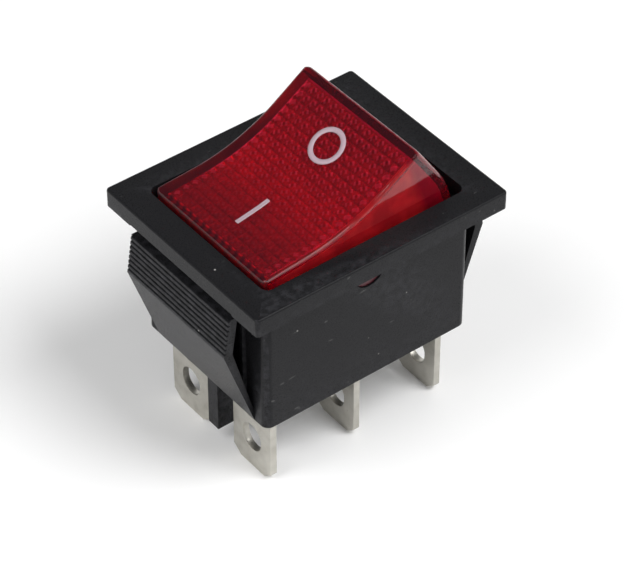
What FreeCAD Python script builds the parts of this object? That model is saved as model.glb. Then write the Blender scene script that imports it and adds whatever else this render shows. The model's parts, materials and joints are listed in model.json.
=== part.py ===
import FreeCAD, Part
import math
import os

import Sketcher

# Panel rocker switch: snap-in housing, lit double-pole changeover, six blade terminals.
# Origin at the centre of the bezel's underside, the face that seats on a panel.
# +X runs along the long side to the raised O end, +Y across the two poles, +Z out of the panel.
# The switch is modelled with its I side pressed.

SIZES = [
    # Bezel and opening, measured from the body's walls
    ("bezel_end_overhang", 2.75),
    ("bezel_side_overhang", 2.45),
    ("bezel_thickness", 2.15),
    ("bezel_corner", 0.45),
    ("bezel_edge", 0.25),
    ("opening_end_inset", 0.45),
    ("opening_side_inset", 0.4),
    ("opening_depth", 1.9),
    # Body below the bezel
    ("body_length", 26.0),
    ("body_width", 20.3),
    ("body_depth", 15.9),
    ("body_corner", 0.9),
    ("wall", 0.7),
    ("cavity_corner", 0.3),
    ("floor_thickness", 1.5),
    ("barrier_thickness", 1.2),
    ("barrier_height", 4.6),
    ("divider_inset", 0.75),
    ("divider_thickness", 1.66),
    ("divider_depth", 7.5),
    # Snap wings
    ("wing_width", 16.3),
    ("wing_thickness", 1.05),
    ("wing_ridge_out", 3.55),
    ("wing_ridge_drop", 5.5),
    ("wing_top_out", 2.85),
    ("wing_top_drop", 0.9),
    ("wing_root", 1.3),
    ("wing_relief_start", 0.8),
    ("wing_relief_side", 0.3),
    ("wing_relief_depth", 0.15),
    ("serrations", 8.0),
    ("serration_depth", 0.25),
    ("serration_share", 0.45),
    ("guide_rib_offset", 7.0),
    ("guide_rib_width", 0.5),
    ("guide_rib_height", 0.45),
    # Rocker
    ("tilt", 19.0),
    ("pivot_drop", 1.6),
    ("pivot_radius", 1.95),
    ("pivot_length", 0.9),
    ("running_clearance", 0.05),
    ("rocker_side_gap", 0.4),
    ("rocker_end_gap", 0.4),
    ("rocker_wall", 1.0),
    ("rocker_ceiling", 1.1),
    ("rocker_skirt_angle", 16.0),
    ("rocker_flare_angle", 15.0),
    ("rocker_lip_overhang", 1.0),
    ("rocker_lip_angle", 37.9),
    ("rocker_dish_angle", 13.8),
    ("rocker_dish_radius", 21.0),
    ("rocker_edge", 0.4),
    ("prism_rows", 17.0),
    ("prism_margin", 0.2),
    ("prism_height", 0.35),
    # Blade terminals
    ("pole_gap_share", 0.5882),
    ("terminal_inset", 2.17),
    ("blade_width", 6.3),
    ("blade_thickness", 0.8),
    ("blade_length", 9.85),
    ("blade_tip_width", 1.2),
    ("blade_tip_height", 0.9),
    ("blade_hole_width", 3.0),
    ("blade_hole_height", 3.4),
    ("blade_hole_rise", 4.1),
    ("slot_clearance", 0.05),
    ("bend_radius", 0.3),
    ("lance_width", 1.3),
    ("lance_height", 1.1),
    ("lance_out", 0.75),
    ("lance_drop", 1.9),
    ("tab_width", 4.0),
    ("tab_reach", 4.6),
    ("pedestal_gap", 0.4),
    ("pedestal_length", 0.7),
    ("shelf_length", 4.4),
    ("ear_length", 3.4),
    ("ear_thickness", 0.7),
    ("ear_rise", 0.5),
    ("notch_flare", 0.45),
    # Moving contact
    ("fulcrum_rise", 2.8),
    ("seesaw_angle", 8.0),
    ("seesaw_width", 4.0),
    ("seesaw_thickness", 0.7),
    ("seesaw_overhang", 1.7),
    ("seesaw_corner", 1.0),
    ("trough_half_length", 3.3),
    ("trunnion_radius", 0.35),
    ("contact_inset", 3.43),
    ("contact_gap", 0.03),
    ("contact_radius", 1.5),
    ("contact_dome_radius", 6.0),
    ("contact_height", 0.55),
    ("button_height", 0.73),
    # Plunger and spring
    ("plunger_radius", 1.3),
    ("plunger_tip_radius", 0.9),
    ("plunger_tip_angle", 48.0),
    ("plunger_taper", 0.8),
    ("plunger_top", 2.0),
    ("plunger_showing", 2.68),
    ("spigot_radius", 0.6),
    ("spigot_height", 0.8),
    ("spring_radius", 0.95),
    ("spring_wire_radius", 0.18),
    ("spring_turns", 3.5),
    ("wire_sides", 4.0),
    # Lamp carrier and lamp
    ("carrier_length", 14.0),
    ("carrier_plate", 0.8),
    ("carrier_gap", 0.1),
    ("tube_wall", 0.85),
    ("clip_offset", 3.2),
    ("clip_thickness", 1.2),
    ("clip_width", 5.2),
    ("clip_wrap", 0.4),
    ("lamp_radius", 2.0),
    ("lamp_length", 11.0),
    ("lamp_glass", 0.35),
    ("lamp_end_thickness", 1.4),
    ("lamp_end_bevel", 0.9),
    ("lamp_drop", 0.25),
    ("electrode_radius", 0.25),
    ("electrode_spacing", 1.5),
    ("electrode_reach", 3.0),
    ("lead_reach", 6.6),
    ("lead_bend", 0.5),
    ("lead_splice", 0.3),
    ("resistor_radius", 0.8),
    ("resistor_length", 2.4),
]


class Size:
    """A length or angle that knows its value and its formula in the sheet."""

    def __init__(self, value, text):
        self.value = value
        self.text = text

    def __add__(self, other):
        other = size(other)
        return Size(self.value + other.value, f"({self.text} + {other.text})")

    def __sub__(self, other):
        other = size(other)
        return Size(self.value - other.value, f"({self.text} - {other.text})")

    def __mul__(self, other):
        other = size(other)
        return Size(self.value * other.value, f"({self.text} * {other.text})")

    def __truediv__(self, other):
        other = size(other)
        return Size(self.value / other.value, f"({self.text} / {other.text})")

    def __radd__(self, other):
        return size(other) + self

    def __rsub__(self, other):
        return size(other) - self

    def __rmul__(self, other):
        return size(other) * self

    def __neg__(self):
        return Size(-self.value, f"(-1 * {self.text})")


class Sheet:
    """Holds one Size for each row of the table."""


def size(number):
    if isinstance(number, Size):
        return number
    return Size(float(number), repr(float(number)))


def sine(angle):
    return Size(math.sin(math.radians(angle.value)), f"sin({angle.text})")


def cosine(angle):
    return Size(math.cos(math.radians(angle.value)), f"cos({angle.text})")


def tangent(angle):
    return sine(angle) / cosine(angle)


def root(area):
    return Size(math.sqrt(area.value), f"sqrt({area.text})")


def leg(hypotenuse, side):
    """The other short side of a right triangle."""
    return root(hypotenuse * hypotenuse - side * side)


doc = FreeCAD.newDocument("RockerSwitch")
table = doc.addObject("Spreadsheet::Sheet", "Sizes")
s = Sheet()
for row, (alias, number) in enumerate(SIZES, start=1):
    table.set(f"A{row}", alias)
    table.set(f"B{row}", str(number))
    table.setAlias(f"B{row}", alias)
    setattr(s, alias, Size(number, f"Sizes.{alias}"))
doc.recompute()

# Heights and widths that several pieces share
floor_top = s.floor_thickness - s.body_depth
blade_tip = -s.body_depth - s.blade_length
cavity_length = s.body_length - 2 * s.wall
cavity_width = s.body_width - 2 * s.wall
rocker_width = cavity_width - 2 * s.rocker_side_gap
inside_width = rocker_width - 2 * s.rocker_wall

# Where the terminals and contacts stand
terminal_pitch = s.body_length / 2 - s.terminal_inset
contact_reach = terminal_pitch - s.contact_inset
seesaw_reach = contact_reach + s.seesaw_overhang
pole_room = cavity_width / 2 - s.barrier_thickness / 2 - s.blade_width
pole_offset = s.barrier_thickness / 2 + pole_room * s.pole_gap_share + s.blade_width / 2
fulcrum_drop = -s.fulcrum_rise - floor_top

# The plunger's tip, seen from the seesaw, runs on a round path; the trough follows it.
pivot_over_fulcrum = fulcrum_drop - s.pivot_drop
tip_floor = s.seesaw_thickness / 2 + s.plunger_tip_radius + s.contact_gap
plunger_reach = pivot_over_fulcrum - tip_floor
tip_side = plunger_reach * sine(s.tilt)
tip_over = pivot_over_fulcrum - plunger_reach * cosine(s.tilt)
tip_end_x = tip_side * cosine(s.seesaw_angle) - tip_over * sine(s.seesaw_angle)
tip_end_z = tip_side * sine(s.seesaw_angle) + tip_over * cosine(s.seesaw_angle)
tip_climb = tip_end_z - tip_floor
path_radius = (tip_end_x * tip_end_x + tip_climb * tip_climb) / (2 * tip_climb)
trough_centre = tip_floor + path_radius
trough_radius = path_radius + s.plunger_tip_radius + s.contact_gap
arm_top = trough_centre - leg(trough_radius, s.trough_half_length)
arm_under = arm_top - s.seesaw_thickness

# The lowest point of a domed contact on the lowered arm fixes the fixed contact's place.
button_face = arm_under - s.button_height
dome_centre = button_face + s.contact_dome_radius
touch_x = contact_reach * cosine(s.seesaw_angle) + dome_centre * sine(s.seesaw_angle)
dome_drop = dome_centre * cosine(s.seesaw_angle) - contact_reach * sine(s.seesaw_angle)
touch_z = dome_drop - s.contact_dome_radius - fulcrum_drop
tab_top = touch_z - s.contact_gap - s.contact_height

# Rocker profile, measured from the pivot
rocker_end_radius = cavity_length / 2 - s.rocker_end_gap
lip_radius = rocker_end_radius + s.rocker_lip_overhang
lip_x = lip_radius * cosine(s.rocker_lip_angle)
lip_z = lip_radius * sine(s.rocker_lip_angle)
skirt_z = -rocker_end_radius * sine(s.rocker_skirt_angle)
dish_x = s.rocker_dish_radius * sine(s.rocker_dish_angle)
dish_z = lip_z - (lip_x - dish_x) * tangent(s.rocker_dish_angle)
dish_centre = dish_z + s.rocker_dish_radius * cosine(s.rocker_dish_angle)
ceiling_z = dish_centre - s.rocker_dish_radius - s.rocker_ceiling
plate_under = ceiling_z - s.carrier_gap - s.carrier_plate
lamp_z = plate_under - s.lamp_drop - s.lamp_radius
tube_radius = s.plunger_radius + s.running_clearance + s.tube_wall
tube_length = plate_under + plunger_reach - s.plunger_showing


def new_body(label):
    body = doc.addObject("PartDesign::Body", label)
    body.Label = label
    return body


def origin_feature(body, role):
    for feature in body.Origin.OriginFeatures:
        if feature.Role == role:
            return feature
    raise ValueError(f"no origin feature {role}")


def new_sketch(body, name, role, offset=None):
    sketch = body.newObject("Sketcher::SketchObject", name)
    sketch.AttachmentSupport = [(origin_feature(body, role), "")]
    sketch.MapMode = "FlatFace"
    if offset is not None:
        sketch.setExpression(".AttachmentOffset.Base.z", offset.text)
    return sketch


def fix(sketch, kind, geometry, point, distance):
    """Holds a point at a distance from the sketch's origin along one axis."""
    index = sketch.addConstraint(Sketcher.Constraint(kind, -1, 1, geometry, point, distance.value))
    sketch.setExpression(f"Constraints[{index}]", distance.text)


def fix_radius(sketch, geometry, radius):
    index = sketch.addConstraint(Sketcher.Constraint("Radius", geometry, radius.value))
    sketch.setExpression(f"Constraints[{index}]", radius.text)


def arc_middle(start, end, radius, turn):
    """The middle point of the short arc between two points, turning left (1) or right (-1)."""
    chord = end - start
    half = chord.Length / 2
    side = FreeCAD.Vector(chord.y, -chord.x, 0) * (turn / chord.Length)
    bulge = radius - math.sqrt(max(radius * radius - half * half, 0.0))
    return (start + end) * 0.5 + side * bulge


def add_loop(sketch, points):
    """Adds a closed outline. A point is (x, y), or (x, y, radius, turn) when an arc follows it."""
    base = sketch.GeometryCount
    corners = []
    for point in points:
        x, y = size(point[0]), size(point[1])
        corners.append((x, y, FreeCAD.Vector(x.value, y.value, 0)))
    ends = []
    for index, point in enumerate(points):
        here = corners[index][2]
        there = corners[(index + 1) % len(points)][2]
        if len(point) == 2:
            sketch.addGeometry(Part.LineSegment(here, there), False)
            ends.append((1, 2))
        else:
            radius, turn = size(point[2]), point[3]
            middle = arc_middle(here, there, radius.value, turn)
            sketch.addGeometry(Part.Arc(here, middle, there), False)
            ends.append((1, 2) if turn > 0 else (2, 1))
    for index in range(len(points)):
        following = (index + 1) % len(points)
        joint = Sketcher.Constraint(
            "Coincident", base + index, ends[index][1], base + following, ends[following][0]
        )
        sketch.addConstraint(joint)
    for index, point in enumerate(points):
        fix(sketch, "DistanceX", base + index, ends[index][0], corners[index][0])
        fix(sketch, "DistanceY", base + index, ends[index][0], corners[index][1])
        if len(point) > 2:
            fix_radius(sketch, base + index, size(point[2]))


def rectangle(x0, x1, y0, y1):
    return [(x0, y0), (x1, y0), (x1, y1), (x0, y1)]


def rounded_rectangle(length, width, radius):
    x, y = length / 2, width / 2
    return [
        (x, radius - y),
        (x, y - radius, radius, 1),
        (x - radius, y),
        (radius - x, y, radius, 1),
        (-x, y - radius),
        (-x, radius - y, radius, 1),
        (radius - x, -y),
        (x - radius, -y, radius, 1),
    ]


def slot_outline(centre, width, height):
    """An upright slot with round ends."""
    radius = width / 2
    straight = (height - width) / 2
    return [
        (radius, centre - straight),
        (radius, centre + straight, radius, 1),
        (0, centre + straight + radius, radius, 1),
        (-radius, centre + straight),
        (-radius, centre - straight, radius, 1),
        (0, centre - straight - radius, radius, 1),
    ]


def wire_section(x, y, radius):
    """A wire's cross-section, with its few corners on the round of the wire."""
    count = int(s.wire_sides.value)
    angles = [size(360.0 * (index + 0.5)) / s.wire_sides for index in range(count)]
    return [(x + radius * cosine(angle), y + radius * sine(angle)) for angle in angles]


def add_circle(sketch, x, y, radius):
    x, y = size(x), size(y)
    centre = FreeCAD.Vector(x.value, y.value, 0)
    index = sketch.addGeometry(Part.Circle(centre, FreeCAD.Vector(0, 0, 1), radius.value), False)
    fix(sketch, "DistanceX", index, 3, x)
    fix(sketch, "DistanceY", index, 3, y)
    fix_radius(sketch, index, radius)


def finish_feature(body, feature, grows):
    """Recomputes and makes sure that the feature added or removed material."""
    before = 0.0
    if feature.BaseFeature is not None:
        before = feature.BaseFeature.Shape.Volume
    doc.recompute()
    after = feature.Shape.Volume
    if grows and after <= before + 1e-6:
        raise ValueError(f"{feature.Label} adds nothing")
    if not grows and after >= before - 1e-6:
        raise ValueError(f"{feature.Label} cuts nothing")
    return feature


def pad(body, sketch, length, side="One side", down=False):
    feature = body.newObject("PartDesign::Pad", sketch.Name + "Pad")
    feature.Profile = sketch
    feature.SideType = side
    feature.Reversed = down
    feature.setExpression("Length", size(length).text)
    sketch.Visibility = False
    return finish_feature(body, feature, True)


def pocket(body, sketch, length, side="One side", up=False):
    feature = body.newObject("PartDesign::Pocket", sketch.Name + "Pocket")
    feature.Profile = sketch
    feature.SideType = side
    feature.Reversed = up
    feature.setExpression("Length", size(length).text)
    sketch.Visibility = False
    return finish_feature(body, feature, False)


def pad_loops(body, name, role, loops, length, side="One side", down=False, offset=None):
    sketch = new_sketch(body, name, role, offset)
    for loop in loops:
        add_loop(sketch, loop)
    return pad(body, sketch, length, side, down)


def pocket_loops(body, name, role, loops, length, side="One side", up=False, offset=None):
    sketch = new_sketch(body, name, role, offset)
    for loop in loops:
        add_loop(sketch, loop)
    return pocket(body, sketch, length, side, up)


def revolve(body, name, points):
    """Turns a half profile on the XZ plane about the body's Z axis."""
    sketch = new_sketch(body, name, "XZ_Plane")
    add_loop(sketch, points)
    feature = body.newObject("PartDesign::Revolution", name + "Turn")
    feature.Profile = sketch
    feature.ReferenceAxis = (sketch, ["V_Axis"])
    feature.Angle = 360.0
    sketch.Visibility = False
    return finish_feature(body, feature, True)


def edges_where(shape, test):
    names = []
    for index, edge in enumerate(shape.Edges, start=1):
        if test(edge.BoundBox):
            names.append(f"Edge{index}")
    return names


def dress(body, kind, name, base, test, amount):
    """Rounds or bevels the edges whose bounding box passes the test."""
    feature = body.newObject(f"PartDesign::{kind}", name)
    feature.Base = (base, edges_where(base.Shape, test))
    feature.setExpression("Radius" if kind == "Fillet" else "Size", amount.text)
    return finish_feature(body, feature, False)


def near(a, b):
    return abs(a - b) < 1e-4


def place(body, x=0, y=0, z=0, axis=(0, 1, 0), angle=None):
    """Puts a body in the switch, turned about an axis where an angle is given."""
    turn = FreeCAD.Rotation()
    if angle is not None:
        turn = FreeCAD.Rotation(FreeCAD.Vector(*axis), angle.value)
    body.Placement = FreeCAD.Placement(FreeCAD.Vector(), turn)
    for letter, distance in zip("xyz", (x, y, z)):
        body.setExpression(f".Placement.Base.{letter}", size(distance).text)
    if angle is not None:
        body.setExpression(".Placement.Rotation.Angle", angle.text)


def place_in_rocker(body, y=0):
    """The rocker's pieces are drawn level about its pivot and lean with it."""
    place(body, 0, y, -s.pivot_drop, (0, -1, 0), s.tilt)


def wing_outline(side):
    """Cross-section of a snap wing, with grooves in its outer face from the ridge to the top."""
    face = s.body_length / 2
    ridge_x = face + s.wing_ridge_out
    top_x = face + s.wing_top_out
    points = [(side * face, -s.body_depth), (side * ridge_x, -s.wing_ridge_drop)]
    groove = s.serration_share
    for index in range(1, int(s.serrations.value) + 1):
        for back, depth in ((groove, size(0)), (groove / 2, s.serration_depth), (size(0), size(0))):
            share = (index - back) / s.serrations
            x = ridge_x - (ridge_x - top_x) * share
            z = (s.wing_ridge_drop - s.wing_top_drop) * share - s.wing_ridge_drop
            points.append((side * (x - depth), z))
    inner_top = top_x - s.wing_thickness
    inner_ridge = ridge_x - s.wing_thickness
    points.append((side * inner_top, -s.wing_top_drop))
    points.append((side * inner_ridge, -s.wing_ridge_drop))
    points.append((side * face, s.wing_root - s.body_depth))
    return points


def housing():
    body = new_body("housing")
    bezel_length = s.body_length + 2 * s.bezel_end_overhang
    bezel_width = s.body_width + 2 * s.bezel_side_overhang
    bezel = rounded_rectangle(bezel_length, bezel_width, s.bezel_corner)
    frame = pad_loops(body, "Bezel", "XY_Plane", [bezel], s.bezel_thickness)
    dress(
        body, "Fillet", "BezelEdge", frame,
        lambda box: near(box.ZMin, s.bezel_thickness.value) and near(box.ZMax, box.ZMin),
        s.bezel_edge,
    )
    wing_reliefs(body)
    shell = rounded_rectangle(s.body_length, s.body_width, s.body_corner)
    pad_loops(body, "Shell", "XY_Plane", [shell], s.body_depth, down=True)
    for name, side in (("LeftWing", -1), ("RightWing", 1)):
        pad_loops(body, name, "XZ_Plane", [wing_outline(side)], s.wing_width, "Symmetric")
    guide_ribs(body)
    top = s.bezel_thickness
    opening_length = s.body_length - 2 * s.opening_end_inset
    opening_width = s.body_width - 2 * s.opening_side_inset
    opening = rounded_rectangle(opening_length, opening_width, s.body_corner)
    pocket_loops(body, "Opening", "XY_Plane", [opening], s.opening_depth, offset=top)
    cavity = rounded_rectangle(cavity_length, cavity_width, s.cavity_corner)
    pocket_loops(body, "Cavity", "XY_Plane", [cavity], top - floor_top, offset=top)
    half_cavity = cavity_length / 2
    half_barrier = s.barrier_thickness / 2
    barrier = rectangle(-half_cavity, half_cavity, -half_barrier, half_barrier)
    pad_loops(body, "Barrier", "XY_Plane", [barrier], s.barrier_height, offset=floor_top)
    half_divider = s.body_length / 2 - s.divider_inset
    half_thick = s.divider_thickness / 2
    divider = rectangle(-half_divider, half_divider, -half_thick, half_thick)
    pad_loops(
        body, "Divider", "XY_Plane", [divider], s.divider_depth, down=True, offset=-s.body_depth
    )
    pedestals(body)
    terminal_slots(body)
    pivot = new_sketch(body, "PivotHole", "XZ_Plane")
    add_circle(pivot, 0, -s.pivot_drop, s.pivot_radius + s.running_clearance)
    pocket(body, pivot, s.body_width, "Symmetric")


def wing_reliefs(body):
    """Shallow steps under the bezel's ends, where the wings' tips pass as they flex."""
    start = s.body_length / 2 + s.wing_relief_start
    end = s.body_length / 2 + 2 * s.bezel_end_overhang
    half_wide = s.wing_width / 2 + s.wing_relief_side
    loops = [rectangle(side * start, side * end, -half_wide, half_wide) for side in (-1, 1)]
    pocket_loops(body, "WingReliefs", "XY_Plane", loops, s.wing_relief_depth, up=True)


def guide_ribs(body):
    """Upright ribs on both end walls, behind the wings."""
    face = s.body_length / 2
    loops = []
    for side in (-1, 1):
        for end in (-1, 1):
            y0 = end * s.guide_rib_offset
            y1 = end * (s.guide_rib_offset - s.guide_rib_width)
            loops.append(rectangle(side * face, side * (face + s.guide_rib_height), y0, y1))
    pad_loops(body, "GuideRibs", "XY_Plane", loops, s.body_depth - s.wing_root, down=True)


def pedestals(body):
    """Ledges on the floor that carry the end terminals' tabs."""
    loops = []
    outer = terminal_pitch - s.blade_thickness / 2 - s.pedestal_gap
    for side in (-1, 1):
        for pole in (-1, 1):
            y0 = pole * pole_offset - s.tab_width / 2
            y1 = pole * pole_offset + s.tab_width / 2
            loops.append(rectangle(side * outer, side * (outer - s.pedestal_length), y0, y1))
    rise = tab_top - s.blade_thickness - floor_top
    pad_loops(body, "Pedestals", "XY_Plane", loops, rise, offset=floor_top)


def terminal_slots(body):
    loops = []
    half_thick = s.blade_thickness / 2 + s.slot_clearance
    half_wide = s.blade_width / 2 + s.slot_clearance
    for x in (-terminal_pitch, size(0), terminal_pitch):
        for pole in (-1, 1):
            y = pole * pole_offset
            loops.append(rectangle(x - half_thick, x + half_thick, y - half_wide, y + half_wide))
    pocket_loops(body, "TerminalSlots", "XY_Plane", loops, s.floor_thickness, offset=floor_top)


def blade_details(body):
    """The hole, bevelled tip and retaining lance that all six blades have."""
    half_wide = s.blade_width / 2
    through = 2 * s.blade_thickness
    hole = slot_outline(blade_tip + s.blade_hole_rise, s.blade_hole_width, s.blade_hole_height)
    pocket_loops(body, "BladeHole", "YZ_Plane", [hole], through, "Symmetric")
    bevels = []
    for side in (-1, 1):
        bevels.append(
            [
                (side * half_wide, blade_tip),
                (side * half_wide, blade_tip + s.blade_tip_height),
                (side * (half_wide - s.blade_tip_width), blade_tip),
            ]
        )
    pocket_loops(body, "TipBevels", "YZ_Plane", bevels, through, "Symmetric")
    face = s.blade_thickness / 2
    top = -s.body_depth - s.lance_drop
    low = top - s.lance_height
    lug = [(face, low), (face + s.lance_out, low), (face + s.lance_out / 2, top), (face, top)]
    pad_loops(body, "Lance", "XZ_Plane", [lug], s.lance_width, "Symmetric")
    dimple = [(-face, low), (0, low), (-face / 2, top), (-face, top)]
    pocket_loops(body, "LanceDimple", "XZ_Plane", [dimple], s.lance_width, "Symmetric")


def end_terminal(label, side, pole):
    """A blade whose inner end is bent over towards the middle and carries a contact."""
    body = new_body(label)
    face = s.blade_thickness / 2
    inner = s.bend_radius
    outer = s.bend_radius + s.blade_thickness
    under = tab_top - s.blade_thickness
    profile = [
        (side * face, blade_tip),
        (side * face, tab_top - outer, outer, side),
        (side * (face - outer), tab_top),
        (-side * s.tab_reach, tab_top),
        (-side * s.tab_reach, under),
        (-side * (face + inner), under, inner, -side),
        (-side * face, under - inner),
        (-side * face, blade_tip),
    ]
    pad_loops(body, "Blade", "XZ_Plane", [profile], s.blade_width, "Symmetric")
    start = face + inner
    sides = []
    for edge in (-1, 1):
        y0 = edge * s.tab_width / 2
        y1 = edge * s.blade_width
        sides.append(rectangle(-side * start, -side * 2 * s.tab_reach, y0, y1))
    pocket_loops(body, "TabSides", "XY_Plane", sides, 2 * s.blade_thickness, offset=tab_top)
    blade_details(body)
    place(body, side * terminal_pitch, pole * pole_offset)


def common_terminal(label, pole):
    """The middle blade, with a shelf on the floor and two notched ears for the seesaw."""
    body = new_body(label)
    face = s.blade_thickness / 2
    half_wide = s.blade_width / 2
    shelf_top = floor_top + s.blade_thickness
    blade = rectangle(-face, face, blade_tip, shelf_top)
    pad_loops(body, "Blade", "XZ_Plane", [blade], s.blade_width, "Symmetric")
    half_shelf = s.shelf_length / 2
    shelf = rectangle(-half_shelf, half_shelf, -half_wide, half_wide)
    pad_loops(body, "Shelf", "XY_Plane", [shelf], s.blade_thickness, offset=floor_top)
    notch = s.trunnion_radius + s.running_clearance
    axle = -fulcrum_drop
    top = axle + s.ear_rise
    half_ear = s.ear_length / 2
    ear = [
        (-half_ear, floor_top),
        (half_ear, floor_top),
        (half_ear, top),
        (notch + s.notch_flare, top),
        (notch, axle, notch, -1),
        (0, axle - notch, notch, -1),
        (-notch, axle),
        (-notch - s.notch_flare, top),
        (-half_ear, top),
    ]
    for name, edge in (("NearEar", 1), ("FarEar", -1)):
        middle = edge * (half_wide - s.ear_thickness / 2)
        pad_loops(body, name, "XZ_Plane", [ear], s.ear_thickness, "Symmetric", offset=middle)
    blade_details(body)
    place(body, 0, pole * pole_offset)


def fixed_contact(label, side, pole):
    """A flat silver disc on the tab of an end terminal."""
    body = new_body(label)
    disc = new_sketch(body, "Disc", "XY_Plane")
    add_circle(disc, 0, 0, s.contact_radius)
    pad(body, disc, s.contact_height)
    place(body, side * touch_x, pole * pole_offset, tab_top)


def moving_contact(label, side, pole):
    """A silver button under the arm of a seesaw, its dome in two slopes that meet where it touches."""
    body = new_body(label)
    shoulder = dome_centre - leg(s.contact_dome_radius, s.contact_radius)
    touch_radius = s.contact_dome_radius * sine(s.seesaw_angle)
    points = [
        (0, arm_under),
        (0, button_face),
        (touch_radius, dome_centre - leg(s.contact_dome_radius, touch_radius)),
        (s.contact_radius, shoulder),
        (s.contact_radius, arm_under),
    ]
    revolve(body, "Button", points)
    reach = side * contact_reach
    x = reach * cosine(s.seesaw_angle)
    z = -reach * sine(s.seesaw_angle) - fulcrum_drop
    place(body, x, pole * pole_offset, z, (0, 1, 0), s.seesaw_angle)


def seesaw(label, pole):
    """The moving contact arm: a strip with a round trough and two trunnions on the fulcrum."""
    body = new_body(label)
    under_radius = trough_radius + s.seesaw_thickness
    under_x = leg(under_radius, trough_centre - arm_under)
    bottom = trough_centre - trough_radius
    profile = [
        (-seesaw_reach, arm_under),
        (-under_x, arm_under, under_radius, 1),
        (0, bottom - s.seesaw_thickness, under_radius, 1),
        (under_x, arm_under),
        (seesaw_reach, arm_under),
        (seesaw_reach, arm_top),
        (s.trough_half_length, arm_top, trough_radius, -1),
        (0, bottom, trough_radius, -1),
        (-s.trough_half_length, arm_top),
        (-seesaw_reach, arm_top),
    ]
    strip = pad_loops(body, "Strip", "XZ_Plane", [profile], s.seesaw_width, "Symmetric")
    dress(
        body, "Fillet", "StripEnds", strip,
        lambda box: near(box.XMin, box.XMax) and near(box.YMin, box.YMax)
        and near(abs(box.XMin), seesaw_reach.value),
        s.seesaw_corner,
    )
    trunnions = new_sketch(body, "Trunnions", "XZ_Plane")
    add_circle(trunnions, 0, 0, s.trunnion_radius)
    pad(body, trunnions, s.blade_width, "Symmetric")
    place(body, 0, pole * pole_offset, -fulcrum_drop, (0, 1, 0), s.seesaw_angle)


def rocker_outline():
    """The rocker's side: dished top, flared ends and round skirt ends about the pivot."""
    end = rocker_end_radius
    skirt_x = end * cosine(s.rocker_skirt_angle)
    flare_x = end * cosine(s.rocker_flare_angle)
    flare_z = end * sine(s.rocker_flare_angle)
    return [
        (-skirt_x, skirt_z),
        (skirt_x, skirt_z, end, 1),
        (flare_x, flare_z),
        (lip_x, lip_z),
        (dish_x, dish_z, s.rocker_dish_radius, -1),
        (-dish_x, dish_z),
        (-lip_x, lip_z),
        (-flare_x, flare_z, end, 1),
    ]


def ceiling_height(x):
    """Height of the rocker's ceiling, which follows the dished top."""
    dish = s.rocker_dish_radius + s.rocker_ceiling
    dish_end = dish * sine(s.rocker_dish_angle)
    if x.value < dish_end.value:
        return dish_centre - leg(dish, x)
    start = dish_centre - dish * cosine(s.rocker_dish_angle)
    return start + (x - dish_end) * tangent(s.rocker_dish_angle)


def prism_line(half_length):
    """Rows of prisms across the ceiling, which throw the lamp's light up, from +X to -X."""
    pitch = 2 * half_length / s.prism_rows
    points = []
    for index in range(2 * int(s.prism_rows.value) + 1):
        x = half_length - pitch * (index / 2)
        reach = x if x.value >= 0 else -x
        rise = s.prism_height if index % 2 else 0
        points.append((x, ceiling_height(reach) + rise))
    return points


def rocker_hollow():
    """The inside of the rocker, a wall's thickness within its outline and open below."""
    end = rocker_end_radius - s.rocker_wall
    skirt_x = leg(end, skirt_z)
    flare_x = end * cosine(s.rocker_flare_angle)
    flare_z = end * sine(s.rocker_flare_angle)
    slope = tangent(s.rocker_dish_angle)
    line_z = lip_z - (lip_x - flare_x) * slope - s.rocker_ceiling / cosine(s.rocker_dish_angle)
    turn = cosine(s.rocker_flare_angle) + sine(s.rocker_flare_angle) * slope
    climb = (line_z - flare_z) / turn
    lip_in_x = flare_x - climb * sine(s.rocker_flare_angle)
    lip_in_z = flare_z + climb * cosine(s.rocker_flare_angle)
    below = skirt_z - s.rocker_wall
    return [
        (-skirt_x, below),
        (skirt_x, below),
        (skirt_x, skirt_z, end, 1),
        (flare_x, flare_z),
        (lip_in_x, lip_in_z),
        *prism_line(lip_in_x - s.prism_margin),
        (-lip_in_x, lip_in_z),
        (-flare_x, flare_z, end, 1),
        (-skirt_x, skirt_z),
    ]


def rocker():
    body = new_body("rocker")
    solid = pad_loops(body, "Cap", "XZ_Plane", [rocker_outline()], rocker_width, "Symmetric")
    dress(
        body, "Fillet", "CapEdges", solid,
        lambda box: box.ZMin > dish_centre.value - s.rocker_dish_radius.value - 0.01
        and (near(abs(box.YMin), rocker_width.value / 2) or near(box.ZMin, lip_z.value)),
        s.rocker_edge,
    )
    stubs = new_sketch(body, "PivotStubs", "XZ_Plane")
    add_circle(stubs, 0, 0, s.pivot_radius)
    pad(body, stubs, rocker_width + 2 * s.pivot_length, "Symmetric")
    pocket_loops(body, "Hollow", "XZ_Plane", [rocker_hollow()], inside_width, "Symmetric")
    place_in_rocker(body)


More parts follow.
